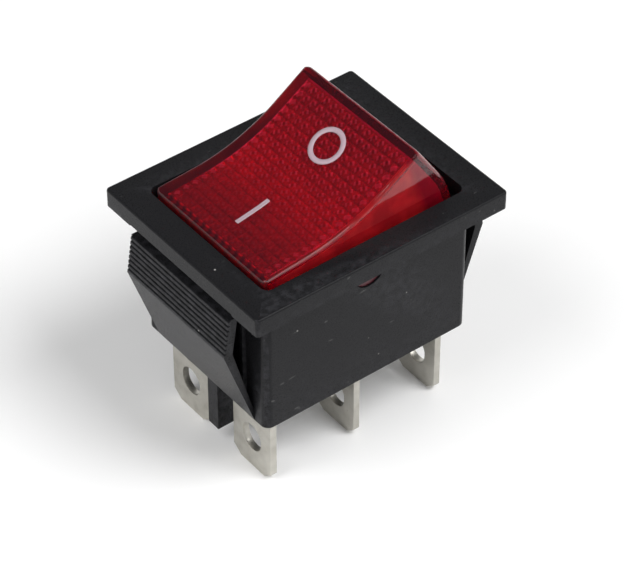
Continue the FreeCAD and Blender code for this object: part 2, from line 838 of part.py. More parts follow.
def lamp_carrier():
    """The reflector plate under the rocker's top, with two plunger tubes and two lamp clips."""
    body = new_body("lamp_carrier")
    half_long = s.carrier_length / 2
    half_wide = inside_width / 2 - s.carrier_gap
    plate = rectangle(-half_long, half_long, -half_wide, half_wide)
    pad_loops(body, "Plate", "XY_Plane", [plate], s.carrier_plate, offset=plate_under)
    tubes = new_sketch(body, "Tubes", "XY_Plane", plate_under)
    for pole in (-1, 1):
        add_circle(tubes, 0, pole * pole_offset, tube_radius)
    pad(body, tubes, tube_length, down=True)
    grip = s.lamp_radius + s.running_clearance
    opening_z = lamp_z - s.clip_wrap
    opening_half = leg(grip, s.clip_wrap)
    half_clip = s.clip_width / 2
    clip = [
        (-half_clip, opening_z),
        (-opening_half, opening_z, grip, -1),
        (0, lamp_z + grip, grip, -1),
        (opening_half, opening_z),
        (half_clip, opening_z),
        (half_clip, plate_under),
        (-half_clip, plate_under),
    ]
    for name, side in (("LeftClip", -1), ("RightClip", 1)):
        offset = side * s.clip_offset
        pad_loops(body, name, "YZ_Plane", [clip], s.clip_thickness, "Symmetric", offset=offset)
    bores = new_sketch(body, "Bores", "XY_Plane", plate_under - tube_length)
    for pole in (-1, 1):
        add_circle(bores, 0, pole * pole_offset, s.plunger_radius + s.running_clearance)
    pocket(body, bores, tube_length, up=True)
    ports = new_sketch(body, "LeadPorts", "YZ_Plane")
    for pole in (-1, 1):
        clear = s.electrode_radius + s.running_clearance
        add_loop(ports, wire_section(pole * pole_offset, lamp_z, clear))
    pocket(body, ports, 2 * tube_radius)
    place_in_rocker(body)


def plunger(label, pole):
    body = new_body(label)
    tip = -plunger_reach
    cone_top = tip + s.plunger_taper
    round_x = s.plunger_tip_radius * sine(s.plunger_tip_angle)
    round_z = tip - s.plunger_tip_radius * cosine(s.plunger_tip_angle)
    points = [
        (0, s.spigot_height - s.plunger_top),
        (0, tip - s.plunger_tip_radius, s.plunger_tip_radius, 1),
        (round_x, round_z),
        (s.plunger_radius, cone_top),
        (s.plunger_radius, -s.plunger_top),
        (s.spigot_radius, -s.plunger_top),
        (s.spigot_radius, s.spigot_height - s.plunger_top),
    ]
    revolve(body, "Pin", points)
    place_in_rocker(body, pole * pole_offset)


def plunger_spring(label, pole):
    """A wire coil between the plunger's shoulder and the carrier's plate."""
    body = new_body(label)
    wire = new_sketch(body, "Wire", "XZ_Plane")
    low = s.spring_wire_radius - s.plunger_top
    add_loop(wire, wire_section(s.spring_radius, low, s.spring_wire_radius))
    travel = plate_under + s.plunger_top - 2 * s.spring_wire_radius
    coil = body.newObject("PartDesign::AdditiveHelix", "Coil")
    coil.Profile = wire
    coil.ReferenceAxis = (wire, ["V_Axis"])
    coil.Mode = 0
    coil.setExpression("Pitch", (travel / s.spring_turns).text)
    coil.setExpression("Height", travel.text)
    wire.Visibility = False
    finish_feature(body, coil, True)
    place_in_rocker(body, pole * pole_offset)


def lamp_glass():
    """The neon lamp's glass: a closed tube with two lead holes in its left end."""
    body = new_body("lamp_glass")
    half = s.lamp_length / 2
    bulb = new_sketch(body, "Bulb", "YZ_Plane", -half)
    add_circle(bulb, 0, lamp_z, s.lamp_radius)
    glass = pad(body, bulb, s.lamp_length)
    dress(
        body, "Chamfer", "BulbEnds", glass,
        lambda box: near(box.XMin, box.XMax),
        s.lamp_end_bevel,
    )
    inside = new_sketch(body, "Gas", "YZ_Plane")
    add_circle(inside, 0, lamp_z, s.lamp_radius - s.lamp_glass)
    pocket(body, inside, s.lamp_length - 2 * s.lamp_end_thickness, "Symmetric")
    holes = new_sketch(body, "LeadHoles", "YZ_Plane", s.lamp_end_thickness - half)
    for pole in (-1, 1):
        y = pole * s.electrode_spacing / 2
        add_loop(holes, wire_section(y, lamp_z, s.electrode_radius + s.slot_clearance))
    pocket(body, holes, s.lamp_end_thickness)
    place_in_rocker(body)


def wire_path(body, name, points, across="YZ_Plane"):
    """Lays a wire along a flat path of straight stretches and round bends."""
    path = new_sketch(body, name + "Path", "XY_Plane", lamp_z)
    ends = []
    corners = [(size(p[0]), size(p[1])) for p in points]
    spots = [FreeCAD.Vector(x.value, y.value, 0) for x, y in corners]
    for index in range(len(points) - 1):
        if len(points[index]) == 2:
            path.addGeometry(Part.LineSegment(spots[index], spots[index + 1]), False)
            ends.append((1, 2))
        else:
            radius, turn = points[index][2], points[index][3]
            middle = arc_middle(spots[index], spots[index + 1], radius.value, turn)
            path.addGeometry(Part.Arc(spots[index], middle, spots[index + 1]), False)
            ends.append((1, 2) if turn > 0 else (2, 1))
    for index in range(len(ends) - 1):
        path.addConstraint(
            Sketcher.Constraint("Coincident", index, ends[index][1], index + 1, ends[index + 1][0])
        )
    for index, (first, last) in enumerate(ends):
        fix(path, "DistanceX", index, first, corners[index][0])
        fix(path, "DistanceY", index, first, corners[index][1])
        if len(points[index]) > 2:
            fix_radius(path, index, points[index][2])
    fix(path, "DistanceX", len(ends) - 1, ends[-1][1], corners[-1][0])
    fix(path, "DistanceY", len(ends) - 1, ends[-1][1], corners[-1][1])
    start_x, start_y = corners[0]
    if across == "YZ_Plane":
        section = new_sketch(body, name + "Section", across, start_x)
        add_loop(section, wire_section(start_y, lamp_z, s.electrode_radius))
    else:
        section = new_sketch(body, name + "Section", across, -start_y)
        add_loop(section, wire_section(start_x, lamp_z, s.electrode_radius))
    wire = body.newObject("PartDesign::AdditivePipe", name)
    wire.Profile = section
    wire.Spine = path
    path.Visibility = False
    section.Visibility = False
    return finish_feature(body, wire, True)


def electrode(label, pole, end_points):
    """A lamp electrode and the lead that it runs out into."""
    body = new_body(label)
    y = pole * s.electrode_spacing / 2
    bend = s.lead_bend
    start = [(s.electrode_reach, y), (bend - s.lead_reach, y, bend, -pole)]
    wire_path(body, "Lead", start + end_points)
    place_in_rocker(body)


def lamp_leads():
    """The front lead runs to the front spring; the rear one meets the resistor's end wire."""
    bend = s.lead_bend
    inner = s.electrode_spacing / 2 + bend
    outer = pole_offset - bend
    spring_side = -s.spring_radius - s.spring_wire_radius - s.running_clearance
    to_spring = [(bend - s.lead_reach, -pole_offset), (spring_side, -pole_offset)]
    corner = [(-s.lead_reach, -inner), (-s.lead_reach, -outer, bend, 1)]
    electrode("electrode_front", -1, corner + to_spring)
    splice = inner + s.lead_splice
    electrode("electrode_rear", 1, [(-s.lead_reach, inner), (-s.lead_reach, splice)])
    resistor(splice + s.running_clearance, spring_side)


def resistor(start, spring_side):
    """The lamp's series resistor: a barrel on the wire that runs on to the rear spring."""
    body = new_body("resistor")
    bend = s.lead_bend
    barrel_end = start + s.lead_splice + s.resistor_length
    outer = pole_offset - bend
    barrel = new_sketch(body, "Barrel", "XZ_Plane", -barrel_end)
    add_circle(barrel, -s.lead_reach, lamp_z, s.resistor_radius)
    pad(body, barrel, s.resistor_length)
    route = [
        (-s.lead_reach, start),
        (-s.lead_reach, outer, bend, -1),
        (bend - s.lead_reach, pole_offset),
        (spring_side, pole_offset),
    ]
    wire_path(body, "Wire", route, "XZ_Plane")
    place_in_rocker(body)


housing()
for pole_name, pole_side in (("front", -1), ("rear", 1)):
    common_terminal(f"common_terminal_{pole_name}", pole_side)
    seesaw(f"seesaw_{pole_name}", pole_side)
    plunger(f"plunger_{pole_name}", pole_side)
    plunger_spring(f"spring_{pole_name}", pole_side)
    for end_name, end_side in (("left", -1), ("right", 1)):
        end_terminal(f"{end_name}_terminal_{pole_name}", end_side, pole_side)
        fixed_contact(f"fixed_contact_{end_name}_{pole_name}", end_side, pole_side)
        moving_contact(f"moving_contact_{end_name}_{pole_name}", end_side, pole_side)
rocker()
lamp_carrier()
lamp_glass()
lamp_leads()

doc.recompute()


def check(pieces):
    for item in doc.Objects:
        if "Invalid" in item.State or "Error" in item.State:
            raise ValueError(f"{item.Label} did not build: {item.State}")
    for piece in pieces:
        if piece.Shape.isNull() or not piece.Shape.isValid():
            raise ValueError(f"{piece.Label} has no valid shape")


pieces = [item for item in doc.Objects if item.TypeId == "PartDesign::Body"]
check(pieces)
os.makedirs("parts", exist_ok=True)
for piece in pieces:
    piece.Shape.exportStep(f"parts/{piece.Label}.step")
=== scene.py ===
import json
import math

import bmesh
import bpy
from bpy.props import FloatProperty, FloatVectorProperty, IntProperty, PointerProperty
from mathutils import Matrix, Vector
from mathutils.bvhtree import BVHTree

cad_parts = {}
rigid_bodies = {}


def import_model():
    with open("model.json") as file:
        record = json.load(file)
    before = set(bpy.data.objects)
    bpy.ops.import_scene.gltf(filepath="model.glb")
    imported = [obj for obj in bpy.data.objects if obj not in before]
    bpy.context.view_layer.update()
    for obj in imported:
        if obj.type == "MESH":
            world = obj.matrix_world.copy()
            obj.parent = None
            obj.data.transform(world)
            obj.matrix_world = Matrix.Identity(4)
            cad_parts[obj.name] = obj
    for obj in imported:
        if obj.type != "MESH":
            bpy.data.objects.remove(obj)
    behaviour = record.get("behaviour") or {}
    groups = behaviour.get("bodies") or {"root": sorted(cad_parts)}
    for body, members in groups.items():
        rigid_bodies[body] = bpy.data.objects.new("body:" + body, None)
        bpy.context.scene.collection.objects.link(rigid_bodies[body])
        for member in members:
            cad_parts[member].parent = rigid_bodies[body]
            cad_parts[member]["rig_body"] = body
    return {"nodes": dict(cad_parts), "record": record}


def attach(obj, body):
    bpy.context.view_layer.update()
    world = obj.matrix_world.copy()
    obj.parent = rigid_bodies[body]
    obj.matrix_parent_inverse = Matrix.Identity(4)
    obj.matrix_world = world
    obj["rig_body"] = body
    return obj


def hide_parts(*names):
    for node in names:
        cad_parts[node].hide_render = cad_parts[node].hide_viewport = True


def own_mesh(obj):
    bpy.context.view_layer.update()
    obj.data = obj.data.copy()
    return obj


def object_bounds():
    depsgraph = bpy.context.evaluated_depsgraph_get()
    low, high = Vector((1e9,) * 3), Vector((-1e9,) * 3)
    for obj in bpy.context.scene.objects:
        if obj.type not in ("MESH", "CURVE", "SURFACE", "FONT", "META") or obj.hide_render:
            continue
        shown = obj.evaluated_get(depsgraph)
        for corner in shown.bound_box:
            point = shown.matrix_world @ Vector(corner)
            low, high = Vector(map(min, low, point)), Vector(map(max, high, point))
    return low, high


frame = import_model()
cad_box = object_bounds()

bl_info = {
    "name": "Panel rocker switch",
    "version": (1, 0, 0),
    "blender": (4, 5, 0),
    "location": "3D View > Sidebar > Switch",
    "description": "Dresses the pieces of a lit snap-in rocker switch",
    "category": "Object",
}

MM = 0.001
UP = Vector((0, 0, 1))

# The rocker's own level frame: lengths in millimetres from its pivot, before it leans
pivot = Vector(frame["record"]["behaviour"]["joints"][0]["pos_m"])
TILT = math.radians(19)
to_level = Matrix.Rotation(TILT, 4, "Y") @ Matrix.Translation(-pivot)
from_level = to_level.inverted()
level_up = from_level.to_3x3() @ UP

# Inner and outer form of the rocker, level and in millimetres
INNER_HALF_WIDTH = 8.05
INNER_END_RADIUS = 10.9
INNER_CORNER = (9.51, 6.63)
INNER_HALF_TOP = 9.31
TOP_THICKNESS = 1.12
SKIRT_HEIGHT = -3.28
FLARE_ANGLE = math.radians(15.0)
OUTER_HALF_WIDTH = 9.05


# Shader building

FLOAT = "NodeSocketFloat"


def connect(tree, item, inputs):
    """Sets or links a node's inputs, given by name or number."""
    for key, value in inputs.items():
        if isinstance(value, bpy.types.NodeSocket):
            tree.links.new(value, item.inputs[key])
        else:
            item.inputs[key].default_value = value


def feed(tree, item, **inputs):
    """Sets or links inputs by name, with an underscore for each space."""
    connect(tree, item, {key.replace("_", " "): value for key, value in inputs.items()})


def add_node(tree, kind, inputs=None, **settings):
    """Adds a node, with values or links for its inputs."""
    item = tree.nodes.new(kind)
    for key, value in settings.items():
        setattr(item, key, value)
    connect(tree, item, inputs or {})
    return item


def math_of(tree, operation, *values):
    inputs = dict(enumerate(values))
    return add_node(tree, "ShaderNodeMath", inputs, operation=operation).outputs[0]


def product(tree, first, *others):
    for other in others:
        first = math_of(tree, "MULTIPLY", first, other)
    return first


def absolute(tree, value):
    return math_of(tree, "ABSOLUTE", value)


def span(tree, value, low, high, out_low=0.0, out_high=1.0):
    """Maps a range of values smoothly onto another."""
    inputs = {
        "Value": value, "From Min": low, "From Max": high, "To Min": out_low, "To Max": out_high,
    }
    return add_node(tree, "ShaderNodeMapRange", inputs, interpolation_type="SMOOTHSTEP").outputs[0]


def fade(tree, value, low, high):
    """Falls smoothly from one to nought as the value rises."""
    return span(tree, value, low, high, out_low=1.0, out_high=0.0)


def rgba(colour, gain=1.0):
    return (colour[0] * gain, colour[1] * gain, colour[2] * gain, 1.0)


def blend_colours(tree, share, first, second):
    inputs = {0: share, 6: first, 7: second}
    return add_node(tree, "ShaderNodeMix", inputs, data_type="RGBA").outputs[2]


def blend_values(tree, share, first, second):
    inputs = {0: share, 2: first, 3: second}
    return add_node(tree, "ShaderNodeMix", inputs, data_type="FLOAT").outputs[0]


def shades(tree, share, colour, low, high):
    """One colour, from a low gain to a high one."""
    return blend_colours(tree, share, rgba(colour, low), rgba(colour, high))


def noise(tree, place, scale, detail=2.0, roughness=0.5):
    """Noise with its scale in cells to a unit of the place's length."""
    inputs = {"Vector": place, "Scale": scale, "Detail": detail, "Roughness": roughness}
    return add_node(tree, "ShaderNodeTexNoise", inputs).outputs["Fac"]


def bump(tree, height, distance, strength=1.0):
    inputs = {"Height": height, "Distance": distance, "Strength": strength}
    return add_node(tree, "ShaderNodeBump", inputs).outputs[0]


def object_place(tree):
    return add_node(tree, "ShaderNodeTexCoord").outputs["Object"]


def split_axes(tree, place):
    return add_node(tree, "ShaderNodeSeparateXYZ", {0: place}).outputs


def new_group(name, inputs, outputs):
    """Starts a node group with float sockets and gives its two ends."""
    group = bpy.data.node_groups.new(name, "ShaderNodeTree")
    for label, default in inputs.items():
        socket = group.interface.new_socket(name=label, in_out="INPUT", socket_type=FLOAT)
        socket.default_value = default
    for label in outputs:
        group.interface.new_socket(name=label, in_out="OUTPUT", socket_type=FLOAT)
    return group, group.nodes.new("NodeGroupInput"), group.nodes.new("NodeGroupOutput")


def use_group(tree, name, **inputs):
    """Places a shared effect and gives its outputs."""
    item = add_node(tree, "ShaderNodeGroup", node_tree=bpy.data.node_groups[name])
    feed(tree, item, **inputs)
    return item.outputs


def build_grain_group():
    """Spark-eroded texture of a mould: fine pits and slow changes of tone."""
    group, start, end = new_group("Moulded Grain", {"Pits": 9000.0}, ("Height", "Tone"))
    place = object_place(group)
    pits = noise(group, place, start.outputs["Pits"], detail=3.0, roughness=0.6)
    tone = noise(group, place, scale=260.0, detail=3.0)
    feed(group, end, Height=span(group, pits, 0.3, 0.7), Tone=span(group, tone, 0.3, 0.7))


def build_wear_group():
    """A mask along outer, rubbed edges, broken up by noise."""
    group, start, end = new_group("Rubbed Edges", {"Amount": 0.5}, ("Mask",))
    edge = add_node(group, "ShaderNodeNewGeometry").outputs["Pointiness"]
    patches = noise(group, object_place(group), scale=1400.0, detail=4.0)
    outer, broken = span(group, edge, 0.51, 0.56), span(group, patches, 0.35, 0.7)
    feed(group, end, Mask=product(group, outer, broken, start.outputs["Amount"]))


def build_dust_group():
    """Specks of dust and short hairline scratches."""
    inputs = {"Amount": 1.0, "Size": 420.0}
    group, start, end = new_group("Dust And Scratches", inputs, ("Dust", "Scratches"))
    place, amount = object_place(group), start.outputs["Amount"]
    inputs = {"Vector": place, "Scale": start.outputs["Size"], "Randomness": 1.0}
    cells = add_node(group, "ShaderNodeTexVoronoi", inputs)
    pick = add_node(group, "ShaderNodeSeparateColor", {"Color": cells.outputs["Color"]}).outputs[0]
    chosen = math_of(group, "GREATER_THAN", pick, 0.6)
    speck = fade(group, cells.outputs["Distance"], 0.03, 0.08)
    turn = {"Vector": place, "Rotation": (0.3, 0.5, 0.6), "Scale": (520.0, 2600.0, 1500.0)}
    long_place = add_node(group, "ShaderNodeMapping", turn).outputs[0]
    scratch = span(group, noise(group, long_place, scale=1.0, detail=1.0), 0.76, 0.8)
    dust = product(group, speck, chosen, amount)
    feed(group, end, Dust=dust, Scratches=product(group, scratch, amount))


def build_rolled_group():
    """Rolled or drawn metal: long fine streaks, and stains where it was plated."""
    inputs = {"Along X": 1.0, "Along Y": 1.0, "Along Z": 0.05}
    group, start, end = new_group("Rolled Metal", inputs, ("Height", "Stain"))
    place = object_place(group)
    parts = {index: start.outputs[name] for index, name in enumerate(inputs)}
    stretch = add_node(group, "ShaderNodeCombineXYZ", parts).outputs[0]
    inputs = {0: place, 1: stretch}
    long_place = add_node(group, "ShaderNodeVectorMath", inputs, operation="MULTIPLY").outputs[0]
    streaks = noise(group, long_place, scale=9000.0, detail=3.0, roughness=0.6)
    patches = noise(group, place, scale=700.0, detail=4.0, roughness=0.6)
    feed(group, end, Height=streaks, Stain=span(group, patches, 0.42, 0.68))


# Materials

ACRYLIC_IOR = 1.49
GLASS_IOR = 1.45
GLASS_TINT = (0.97, 0.99, 0.99)
DEPTH_COLOUR = (0.9, 0.14, 0.26)
DEPTH_DENSITY = 450.0
# Painted shade along the rocker's top edge at the I half, as a dark magenta tint
EDGE_SHADE_COLOUR = (0.3, 0.01, 0.06)
PALE_DUST = (0.3, 0.29, 0.28)
METAL_DUST = (0.25, 0.22, 0.19)
RED_DUST = (0.9, 0.5, 0.5)
SCRATCH_GREY = (0.06, 0.06, 0.06)

# Shares of the axes in a metal's streaks, small along the streaks
ALONG_X = (0.05, 1.0, 1.0)
ALONG_Z = (1.0, 1.0, 0.05)
EVEN = (1.0, 1.0, 1.0)

# Where masks on the rocker start and end: level places in millimetres
DULL_EDGE = (-2.0, 3.0)
LOW_PRISMS = (-6.5, -1.0)
HIGH_PRISMS = (0.0, 3.5)
LIT_PRISMS = (-5.0, 2.5)
SIDE_PRISMS = (6.9, 7.0)
END_WALLS = (8.0, 9.3)
LOW_END = (-9.3, -9.2)
BEAD_HEIGHT = (4.8, 5.4)


def new_material(name):
    """An empty material, its node tree and its shader."""
    material = bpy.data.materials.new(name)
    material.use_nodes = True
    tree = material.node_tree
    tree.nodes.clear()
    shader = add_node(tree, "ShaderNodeBsdfPrincipled")
    add_node(tree, "ShaderNodeOutputMaterial", {"Surface": shader.outputs[0]})
    return material, tree, shader


def black_nylon(settings):
    """Textured nylon with rubbed edges, dust and short scratches."""
    material, tree, shader = new_material("black_nylon")
    grain = use_group(tree, "Moulded Grain", Pits=9000.0)
    worn = use_group(tree, "Rubbed Edges", Amount=0.5)["Mask"]
    marks = use_group(tree, "Dust And Scratches", Amount=1.0, Size=560.0)
    base = shades(tree, grain["Tone"], settings.colour, 0.97, 1.04)
    base = blend_colours(tree, worn, base, rgba(settings.colour, 4.0))
    base = blend_colours(tree, marks["Scratches"], base, rgba(SCRATCH_GREY))
    base = blend_colours(tree, marks["Dust"], base, rgba(PALE_DUST))
    smooth, matt = settings.roughness - 0.06, settings.roughness + 0.08
    rough = blend_values(tree, grain["Height"], smooth, matt)
    feed(tree, shader, Base_Color=base, Roughness=rough, Specular_IOR_Level=0.11)
    feed(tree, shader, Normal=bump(tree, grain["Height"], distance=0.00001, strength=0.35))
    return material


def level_place(tree):
    """Object coordinates turned level, in millimetres from the rocker's pivot."""
    inputs = {
        "Vector": object_place(tree), "Location": to_level.translation / MM,
        "Rotation": to_level.to_euler(), "Scale": (1 / MM, 1 / MM, 1 / MM),
    }
    return add_node(tree, "ShaderNodeMapping", inputs).outputs[0]


def top_edge(tree):
    """A mask of the rounded edge round the rocker's top."""
    inputs = {0: add_node(tree, "ShaderNodeTexCoord").outputs["Normal"], 1: level_up}
    rise = add_node(tree, "ShaderNodeVectorMath", inputs, operation="DOT_PRODUCT").outputs["Value"]
    return product(tree, span(tree, rise, 0.05, 0.15), fade(tree, rise, 0.9, 0.95))


def clear_red(settings):
    """The rocker's clear red acrylic skin, duller along its edge at the I half, where painted shade
    also darkens its tint.
    """
    material, tree, shader = new_material("clear_red_acrylic")
    marks = use_group(tree, "Dust And Scratches", Amount=0.5, Size=520.0)
    rubbed = use_group(tree, "Rubbed Edges", Amount=1.0)["Mask"]
    low_half = fade(tree, split_axes(tree, level_place(tree))[0], *DULL_EDGE)
    handled_and_shaded_edge = product(tree, top_edge(tree), low_half)
    haze = noise(tree, object_place(tree), scale=500.0, detail=3.0)
    rough = span(tree, haze, 0.3, 0.8, out_low=0.04, out_high=0.10)
    for mask, roughness in ((marks["Scratches"], 0.4), (rubbed, 0.5), (handled_and_shaded_edge, 0.45)):
        rough = blend_values(tree, mask, rough, roughness)
    # Painted shade: the tint darkens to dark magenta along the top edge of the I half; the same
    # mask also roughens that edge.
    edge_shade = product(tree, handled_and_shaded_edge, 0.8)
    tint = blend_colours(tree, edge_shade, rgba(settings.skin_colour), rgba(EDGE_SHADE_COLOUR))
    tint = blend_colours(tree, marks["Dust"], tint, rgba(RED_DUST))
    feed(tree, shader, Base_Color=tint, Roughness=rough, IOR=ACRYLIC_IOR, Transmission_Weight=0.965)
    inputs = {"Color": rgba(DEPTH_COLOUR), "Density": DEPTH_DENSITY}
    depth = add_node(tree, "ShaderNodeVolumeAbsorption", inputs).outputs[0]
    feed(tree, tree.nodes["Material Output"], Volume=depth)
    return material


def cell_places(tree, axes, settings):
    """Place across a prism cell on each axis, from -0.5 to 0.5."""
    places = []
    for axis, half in ((0, INNER_HALF_TOP), (1, INNER_HALF_WIDTH)):
        count = round(2 * half / (settings.prism_pitch / MM))
        cells = math_of(tree, "MULTIPLY_ADD", axes[axis], count / (2 * half), count / 2)
        places.append(math_of(tree, "SUBTRACT", math_of(tree, "FRACT", cells), 0.5))
    return places


def prism_masks(tree, along, sideways):
    """Masks of a prism's painted pair of glints, of the painted shade on its blunt tip, and of its
    whole face.
    """
    apart = absolute(tree, math_of(tree, "SUBTRACT", along, sideways))
    across = absolute(tree, math_of(tree, "ADD", along, sideways))
    widest = math_of(tree, "MAXIMUM", apart, across)
    aside = absolute(tree, math_of(tree, "SUBTRACT", apart, 0.32))
    pair = product(tree, fade(tree, aside, 0.1, 0.22), fade(tree, across, 0.18, 0.4))
    tip_shade = span(tree, widest, 0.12, 0.3, out_low=0.6, out_high=0.0)
    return pair, tip_shade, fade(tree, widest, 0.2, 0.42)


def prism_red(settings):
    """The prisms under the top: a painted highlight as a pair of glints on each, and painted shade
    in the valleys and on the blunt tips.
    """
    material, tree, shader = new_material("red_prism_facets")
    place = level_place(tree)
    axes = split_axes(tree, place)
    along, sideways = cell_places(tree, axes, settings)
    pair, tip_shade, facet = prism_masks(tree, along, sideways)
    raised_half = span(tree, axes[0], *LIT_PRISMS, out_low=0.1, out_high=1.0)
    valley_shade = span(tree, absolute(tree, along), 0.34, 0.48, out_low=0.0, out_high=0.45)
    edge_row_glint = span(tree, absolute(tree, axes[1]), *SIDE_PRISMS, out_low=0.0, out_high=0.9)
    base, glint = settings.prism_colour, rgba(settings.painted_glint_colour)
    shade = rgba(base, 0.3)
    tone = span(tree, noise(tree, place, scale=0.9, detail=3.0), 0.3, 0.7)
    colour = shades(tree, tone, base, 0.85, 1.05)
    layers = (
        # Painted shade: the prisms are darker over the low half and over the raised half than in
        # the middle.
        (fade(tree, axes[0], *LOW_PRISMS), rgba(base, 0.62)),
        (span(tree, axes[0], *HIGH_PRISMS), rgba(base, 0.72)),
        # Painted shade: dark lines in the valleys between rows, and dark blunt tips on the raised
        # half.
        (valley_shade, shade),
        # Painted highlights: a pair of glints on each prism, strongest on the raised half, and on
        # the row of prisms along each side.
        (product(tree, pair, raised_half), glint),
        (product(tree, tip_shade, raised_half), shade),
        (product(tree, edge_row_glint, facet), glint),
    )
    for mask, layer in layers:
        colour = blend_colours(tree, mask, colour, layer)
    feed(tree, shader, Base_Color=colour, Roughness=0.14, IOR=ACRYLIC_IOR, Transmission_Weight=0.5)
    return material


def lining_red(settings):
    """The inner walls, with painted shade towards both end walls and in a row of dark beads along
    the top of the I end.
    """
    material, tree, shader = new_material("red_inner_walls")
    place = level_place(tree)
    axes = split_axes(tree, place)
    sideways = cell_places(tree, axes, settings)[1]
    ends = span(tree, absolute(tree, axes[0]), *END_WALLS)
    low_end = product(tree, fade(tree, axes[0], *LOW_END), span(tree, axes[2], *BEAD_HEIGHT))
    beads = product(tree, fade(tree, absolute(tree, sideways), 0.1, 0.4), low_end)
    tone = span(tree, noise(tree, place, scale=0.35), 0.35, 0.65)
    colour = shades(tree, tone, settings.lining_colour, 0.75, 1.1)
    # Painted shade: darker magenta towards both end walls, and dark beads along the top of the I
    # end.
    colour = blend_colours(tree, ends, colour, rgba(settings.end_shade_colour))
    colour = blend_colours(tree, low_end, colour, rgba(settings.prism_colour, 0.8))
    colour = blend_colours(tree, beads, colour, rgba(settings.end_shade_colour, 0.2))
    feed(tree, shader, Base_Color=colour, Roughness=0.4)
    return material


def printed_ink(settings):
    """Matt pale ink, thin in places."""
    material, tree, shader = new_material("printed_ink")
    place = object_place(tree)
    patches = noise(tree, place, scale=5000.0, detail=4.0, roughness=0.6)
    colour = shades(tree, span(tree, patches, 0.55, 0.85), settings.ink_colour, 1.0, 0.6)
    relief = bump(tree, noise(tree, place, scale=9000.0), distance=0.000006, strength=0.5)
    feed(tree, shader, Base_Color=colour, Roughness=0.45, Normal=relief)
    return material


def plain_metal(name, colour, roughness, stain_colour, along=ALONG_Z):
    """Rolled, plated or drawn metal."""
    material, tree, shader = new_material(name)
    streaks = use_group(tree, "Rolled Metal", Along_X=along[0], Along_Y=along[1], Along_Z=along[2])
    worn = use_group(tree, "Rubbed Edges", Amount=0.6)["Mask"]
    marks = use_group(tree, "Dust And Scratches", Amount=0.6, Size=600.0)
    base = blend_colours(tree, streaks["Stain"], rgba(colour), rgba(stain_colour))
    base = blend_colours(tree, worn, base, rgba(colour, 1.2))
    base = blend_colours(tree, marks["Dust"], base, rgba(METAL_DUST))
    rough = blend_values(tree, streaks["Height"], roughness - 0.08, roughness + 0.14)
    rough = math_of(tree, "ADD", rough, product(tree, streaks["Stain"], 0.12))
    feed(tree, shader, Base_Color=base, Roughness=rough, Metallic=0.92)
    feed(tree, shader, Normal=bump(tree, streaks["Height"], distance=0.000008, strength=0.5))
    return material


def moulded_plastic(name, colour, roughness):
    """Plain moulded plastic with a fine grain."""
    material, tree, shader = new_material(name)
    grain = use_group(tree, "Moulded Grain", Pits=6000.0)
    base = shades(tree, grain["Tone"], colour, 0.85, 1.1)
    rough = blend_values(tree, grain["Height"], roughness - 0.08, roughness + 0.08)
    feed(tree, shader, Base_Color=base, Roughness=rough)
    feed(tree, shader, Normal=bump(tree, grain["Height"], distance=0.000008, strength=0.4))
    return material


def thin_glass():
    """The lamp's glass, with a little haze."""
    material, tree, shader = new_material("lamp_glass")
    haze = noise(tree, object_place(tree), scale=900.0, detail=3.0)
    rough = span(tree, haze, 0.4, 0.8, out_low=0.01, out_high=0.12)
    feed(tree, shader, Base_Color=rgba(GLASS_TINT), Roughness=rough, IOR=GLASS_IOR)
    feed(tree, shader, Transmission_Weight=1.0)
    return material


# Mesh building

WELD = 0.002 * MM
FLAT_ANGLE = math.radians(0.6)
SHARP_ANGLE = math.radians(35.0)
BEVEL_STEPS = 2
BEVEL_ROOM = 2.2
TURN_STEPS = 48
WIRE_SIDES = 12
WIRE_TIP = 0.7


def finish_mesh(bm, name, materials, sharp_angle=32.0):
    """Turns a bmesh into a smooth-shaded object with its hard edges kept."""
    bmesh.ops.recalc_face_normals(bm, faces=bm.faces)
    mesh = bpy.data.meshes.new(name)
    bm.to_mesh(mesh)
    bm.free()
    if "custom_normal" in mesh.attributes:
        mesh.attributes.remove(mesh.attributes["custom_normal"])
    mesh.shade_smooth()
    mesh.set_sharp_from_angle(angle=math.radians(sharp_angle))
    for material in materials:
        mesh.materials.append(material)
    piece = bpy.data.objects.new(name, mesh)
    bpy.context.scene.collection.objects.link(piece)
    return piece


def circle(count):
    """Evenly spaced points of a unit circle."""
    angles = [2 * math.pi * index / count for index in range(count)]
    return [(math.cos(angle), math.sin(angle)) for angle in angles]


def quarter(steps):
    """Points along a unit circle's first quarter, from end to end."""
    return circle(4 * steps)[:steps + 1]


def skin_rows(bm, rows, closed=True, material=0):
    """Faces between rows of vertices, each row a ring, an open line or a single point."""
    for lower, upper in zip(rows, rows[1:]):
        size = max(len(lower), len(upper))
        for step in range(size if closed else size - 1):
            after = (step + 1) % size
            corners = [lower[step % len(lower)], lower[after % len(lower)]]
            corners += [upper[after % len(upper)], upper[step % len(upper)]]
            bm.faces.new(list(dict.fromkeys(corners))).material_index = material


def node_mesh(node):
    """A CAD node's shape as a welded bmesh with its flat faces made whole."""
    bm = bmesh.new()
    bm.from_mesh(frame["nodes"][node].data)
    bmesh.ops.remove_doubles(bm, verts=bm.verts, dist=WELD)
    if node == "housing":
        rebuild_bezel_corners(bm)
    bmesh.ops.dissolve_limit(bm, angle_limit=FLAT_ANGLE, verts=bm.verts, edges=bm.edges)
    return bm


def narrowness(face, edge):
    """How far the face reaches away from one of its edges."""
    start, along = edge.verts[0].co, (edge.verts[1].co - edge.verts[0].co).normalized()
    return max(((v.co - start) - along * (v.co - start).dot(along)).length for v in face.verts)


def sharp_edges(bm, room):
    """Hard edges whose neighbouring faces leave room for rounding."""
    edges = []
    for edge in bm.edges:
        if len(edge.link_faces) == 2 and edge.calc_face_angle(0.0) > SHARP_ANGLE:
            if min(narrowness(face, edge) for face in edge.link_faces) > room:
                edges.append(edge)
    return edges


